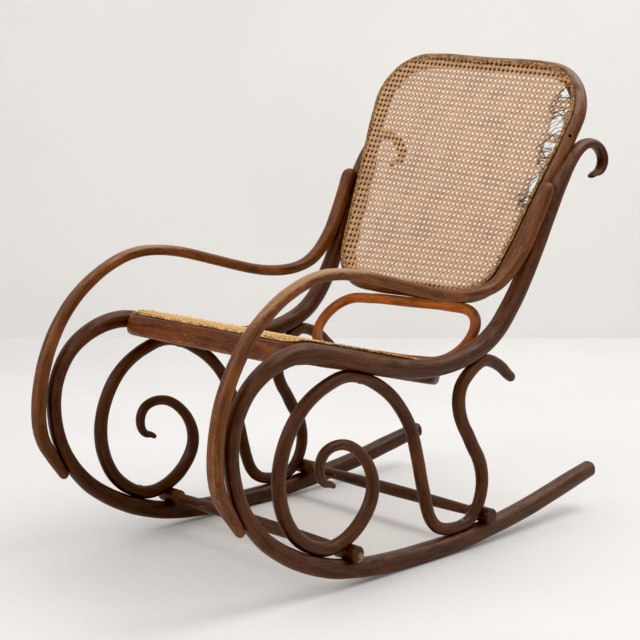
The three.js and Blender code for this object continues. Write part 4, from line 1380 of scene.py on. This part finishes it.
class CHAIR_OT_back_cane(bpy.types.Operator):
    """Weave the cane of the back, torn along its left edge"""

    bl_idname = "chair.back_cane"
    bl_label = "Back cane"

    def execute(self, context):
        chair = context.scene.rocking_chair
        cane = chair.cane
        rim, panel = rim_and_panel("back", chair.rods)
        finish = cane_material("Back cane", chair.finish.back_cane, dirt=0.6)
        weave = Weave(panel, cane, cane.back_row_slope, TORN_PLACES, seed=5)
        weave.build("back_cane", finish, node="back_cane", slot="cane")
        torn = cane_material("Torn cane", chair.finish.torn_cane, dirt=0.6)
        loose_strands("back_cane_loose_strands", panel, TORN_PLACES, torn, "cane")
        bound = cane_material("Cane binder", chair.finish.binder, dirt=0.8, edge_shade=0.25,
                              breaks=110)
        tied = cane_material("Cane ties", chair.finish.ties, dirt=0.8)
        binder_piece("back_cane_binder", rim, panel, cane, bound, tied,
                     node="back_binder", slot="cane_binder")
        rim_loops("back_cane_rim_loops", panel, cane, TORN_PLACES, bound, "cane")
        return {"FINISHED"}


class CHAIR_OT_seat_cane(bpy.types.Operator):
    """Weave the cane of the seat"""

    bl_idname = "chair.seat_cane"
    bl_label = "Seat cane"

    def execute(self, context):
        chair = context.scene.rocking_chair
        rim, panel = rim_and_panel("seat", chair.rods)
        color = chair.finish.seat_cane
        finish = cane_material("Cane of the seat", color, dirt=0.15, shine=0.08, edge_shade=0.1,
                               dullest=0.85)
        weave = Weave(panel, chair.cane, slope=0, torn=(), seed=6)
        weave.build("seat_cane", finish, node="seat_cane", slot="cane")
        bound = cane_material("Binder of the seat", color, dirt=0.3, shine=0.08, edge_shade=0.1,
                              breaks=60, dullest=0.85)
        binder_piece("seat_cane_binder", rim, panel, chair.cane, bound, bound, SEAM,
                     node="seat_binder", slot="cane_binder")
        return {"FINISHED"}


HOLE_PLACE = (0.2700, 0.3952, 0.7924)   # metres, near the section of the ring that lost a screw
HOLE_FACING = (0.75, 0.66)              # shares of outward and frontward
HOLE_SINKING = 0.1 * MM


class CHAIR_OT_screws(bpy.types.Operator):
    """Set a screw wherever a rod is fixed to a side frame"""

    bl_idname = "chair.screws"
    bl_label = "Screws"

    def execute(self, context):
        chair = context.scene.rocking_chair
        finish = screw_material()
        for side in SIDES:
            body, scroll, arm = (rod_of(f"{kind}_{side}", chair.rods)
                                 for kind in ("side_frame", "scroll", "arm"))
            for number, (k, m) in enumerate(contacts(scroll, body), 1):
                away = unit(scroll.centres[k] - body.centres[m])
                place = scroll.centres[k] + away * scroll.halves[k, 1]
                screw(f"scroll_screw_{side}_{number}", place, away, finish)
            for number, (k, m) in enumerate(contacts(arm, body), 1):
                away = unit(body.centres[m] - arm.centres[k])
                place = body.centres[m] + away * body.halves[m, 1]
                screw(f"arm_screw_{side}_{number}", place, away, finish)
        ring = rod_of("back_frame", chair.rods)
        k = np.linalg.norm(ring.centres - np.array(HOLE_PLACE), axis=1).argmin()
        facing = unit(X * HOLE_FACING[0] + ring.flat * HOLE_FACING[1] * np.sign(-ring.flat[1]))
        facing = unit(facing - ring.along[k] * (facing @ ring.along[k]))
        place = ring.centres[k] + facing * (ring.halves[k, 0] - HOLE_SINKING)
        open_hole("back_frame_screw_hole", place, facing, hole_shade_material())
        return {"FINISHED"}


# Stage

FLOOR_BEHIND = 6.0                      # metres that the floor reaches behind the camera
STAGE_WIDTH = 18.0
WALL_HEIGHT = 6.0
CAMERA_PLACE = (2.120, -2.0554, 0.9104)
CAMERA_HEADING = math.radians(46.341)   # from +Y towards -X
CAMERA_PITCH = math.radians(9.147)      # below level
SENSOR_WIDTH = 36                       # millimetres
LAMP_TARGET = (0, 0, 0.4)
# Lamps: metres to the right of the chair's middle as the camera sees it, beyond it and up, then
# size, watts and colour
LAMPS = {
    "key": ((1.7, 0.5, 2.9), (2.3, 2.0), 56, (1.0, 0.99, 0.97)),
    "fill": ((-2.5, -1.7, 2.3), (2.4, 2.4), 54, (0.99, 0.99, 1.0)),
}
WORLD_COLOR = (0.93, 0.94, 0.96, 1)
WORLD_STRENGTH = 0.66
BLACK_LEVEL = (0.009, 0.009, 0.009)


def painted_material(name, color, scuffs=0.0, see_through=False):
    """Painted surface with faint clouds and specks, clear from behind if asked."""
    material, graph = new_material(name)
    place = graph.place()
    cloud = graph.noise(place, *CLOUD_NOISE)
    specks = graph.step(graph.noise(place, *SCUFF_NOISE), 0.69, 0.73, 0, scuffs)
    base = graph.mix(graph.step(cloud, 0.3, 0.7), shade(color, 0.975), shade(color, 1.02))
    surface = graph.principled({"Base Color": graph.mix(specks, base, shade(color, 0.8)),
                                "Roughness": graph.step(cloud, 0.3, 0.7, 0.55, 0.7)})
    if see_through:
        behind = graph.add("ShaderNodeNewGeometry").outputs["Backfacing"]
        clear = graph.add("ShaderNodeBsdfTransparent").outputs[0]
        surface = graph.add("ShaderNodeMixShader", {0: behind, 1: surface, 2: clear}).outputs[0]
    graph.finish(surface)
    return material


def stage_sheet(name, corner, across, up, finish):
    """A flat sheet of the stage from one corner and two of its edges."""
    corners = np.array([corner, corner + across, corner + across + up, corner + up])
    mesh = bpy.data.meshes.new(name)
    mesh.from_pydata(corners.tolist(), [], [(0, 1, 2, 3)])
    mesh.materials.append(finish)
    sheet = bpy.data.objects.new(name, mesh)
    bpy.context.scene.collection.objects.link(sheet)


def area_lamp(name, place, size, power, color):
    """A soft rectangular lamp aimed at the chair."""
    lamp = bpy.data.lights.new(name, "AREA")
    lamp.shape = "RECTANGLE"
    lamp.size, lamp.size_y = size
    lamp.energy = power
    lamp.color = color
    holder = bpy.data.objects.new(name, lamp)
    bpy.context.scene.collection.objects.link(holder)
    holder.location = place
    way = Vector(LAMP_TARGET) - Vector(place)
    holder.rotation_euler = way.to_track_quat("-Z", "Y").to_euler()


def set_camera(scene, lens):
    """The camera at the photograph's place and angle."""
    camera = bpy.data.cameras.new("camera")
    camera.lens = lens
    camera.sensor_width = SENSOR_WIDTH
    holder = bpy.data.objects.new("camera", camera)
    scene.collection.objects.link(holder)
    holder.location = CAMERA_PLACE
    holder.rotation_euler = (math.pi / 2 - CAMERA_PITCH, 0, CAMERA_HEADING)
    scene.camera = holder


def set_world(scene):
    """Even studio light from all round, and the photograph's soft blacks."""
    world = bpy.data.worlds.new("studio")
    scene.world = world
    world.use_nodes = True
    light = world.node_tree.nodes["Background"].inputs
    light["Color"].default_value = WORLD_COLOR
    light["Strength"].default_value = WORLD_STRENGTH
    view = scene.view_settings
    view.view_transform = "Standard"
    view.use_curve_mapping = True
    view.curve_mapping.black_level = BLACK_LEVEL


class CHAIR_OT_stage(bpy.types.Operator):
    """Lay the floor and wall, set the lamps and the camera"""

    bl_idname = "chair.stage"
    bl_label = "Stage"

    def execute(self, context):
        stage = context.scene.rocking_chair.stage
        ahead = np.array([-math.sin(CAMERA_HEADING), math.cos(CAMERA_HEADING), 0])
        right = np.array([math.cos(CAMERA_HEADING), math.sin(CAMERA_HEADING), 0])
        up = np.array([0, 0, 1])
        below_camera = np.array([*CAMERA_PLACE[:2], 0])
        foot = below_camera + ahead * stage.wall_distance - right * STAGE_WIDTH / 2
        width, length = right * STAGE_WIDTH, ahead * (stage.wall_distance + FLOOR_BEHIND)
        stage_sheet("floor", foot - length, width, length,
                    painted_material("Painted floor", stage.floor_color, scuffs=0.5))
        stage_sheet("wall", foot, width, up * WALL_HEIGHT,
                    painted_material("Painted wall", stage.wall_color, see_through=True))
        for name, (place, *lamp) in LAMPS.items():
            area_lamp(name, tuple(np.array(place) @ np.array([right, ahead, up])), *lamp)
        set_camera(context.scene, stage.lens)
        set_world(context.scene)
        return {"FINISHED"}


class CHAIR_PT_panel(bpy.types.Panel):
    """The chair's pieces in the sidebar"""

    bl_idname = "CHAIR_PT_panel"
    bl_label = "Rocking Chair"
    bl_space_type = "VIEW_3D"
    bl_region_type = "UI"
    bl_category = "Rocking Chair"

    def draw(self, context):
        chair = context.scene.rocking_chair
        for group in (chair.rods, chair.cane, chair.finish, chair.stage):
            box = self.layout.box()
            for key in group.__annotations__:
                box.prop(group, key)
        for operator in OPERATORS:
            self.layout.operator(operator.bl_idname)


OPERATORS = (
    CHAIR_OT_side_frames,
    CHAIR_OT_arms,
    CHAIR_OT_scrolls,
    CHAIR_OT_back_frame,
    CHAIR_OT_rear_hoop,
    CHAIR_OT_seat_frame,
    CHAIR_OT_stretchers,
    CHAIR_OT_back_cane,
    CHAIR_OT_seat_cane,
    CHAIR_OT_screws,
    CHAIR_OT_stage,
)
CLASSES = (RodSettings, CaneSettings, FinishSettings, StageSettings, ChairSettings,
           *OPERATORS, CHAIR_PT_panel)


def register():
    for each in CLASSES:
        bpy.utils.register_class(each)
    bpy.types.Scene.rocking_chair = bpy.props.PointerProperty(type=ChairSettings)


def unregister():
    del bpy.types.Scene.rocking_chair
    for each in reversed(CLASSES):
        bpy.utils.unregister_class(each)


def main():
    register()
    for operator in OPERATORS:
        name = operator.bl_idname.split(".")[1]
        if getattr(bpy.ops.chair, name)() != {"FINISHED"}:
            raise RuntimeError(f"{operator.bl_label} did not finish")


if __name__ == "__main__":
    main()
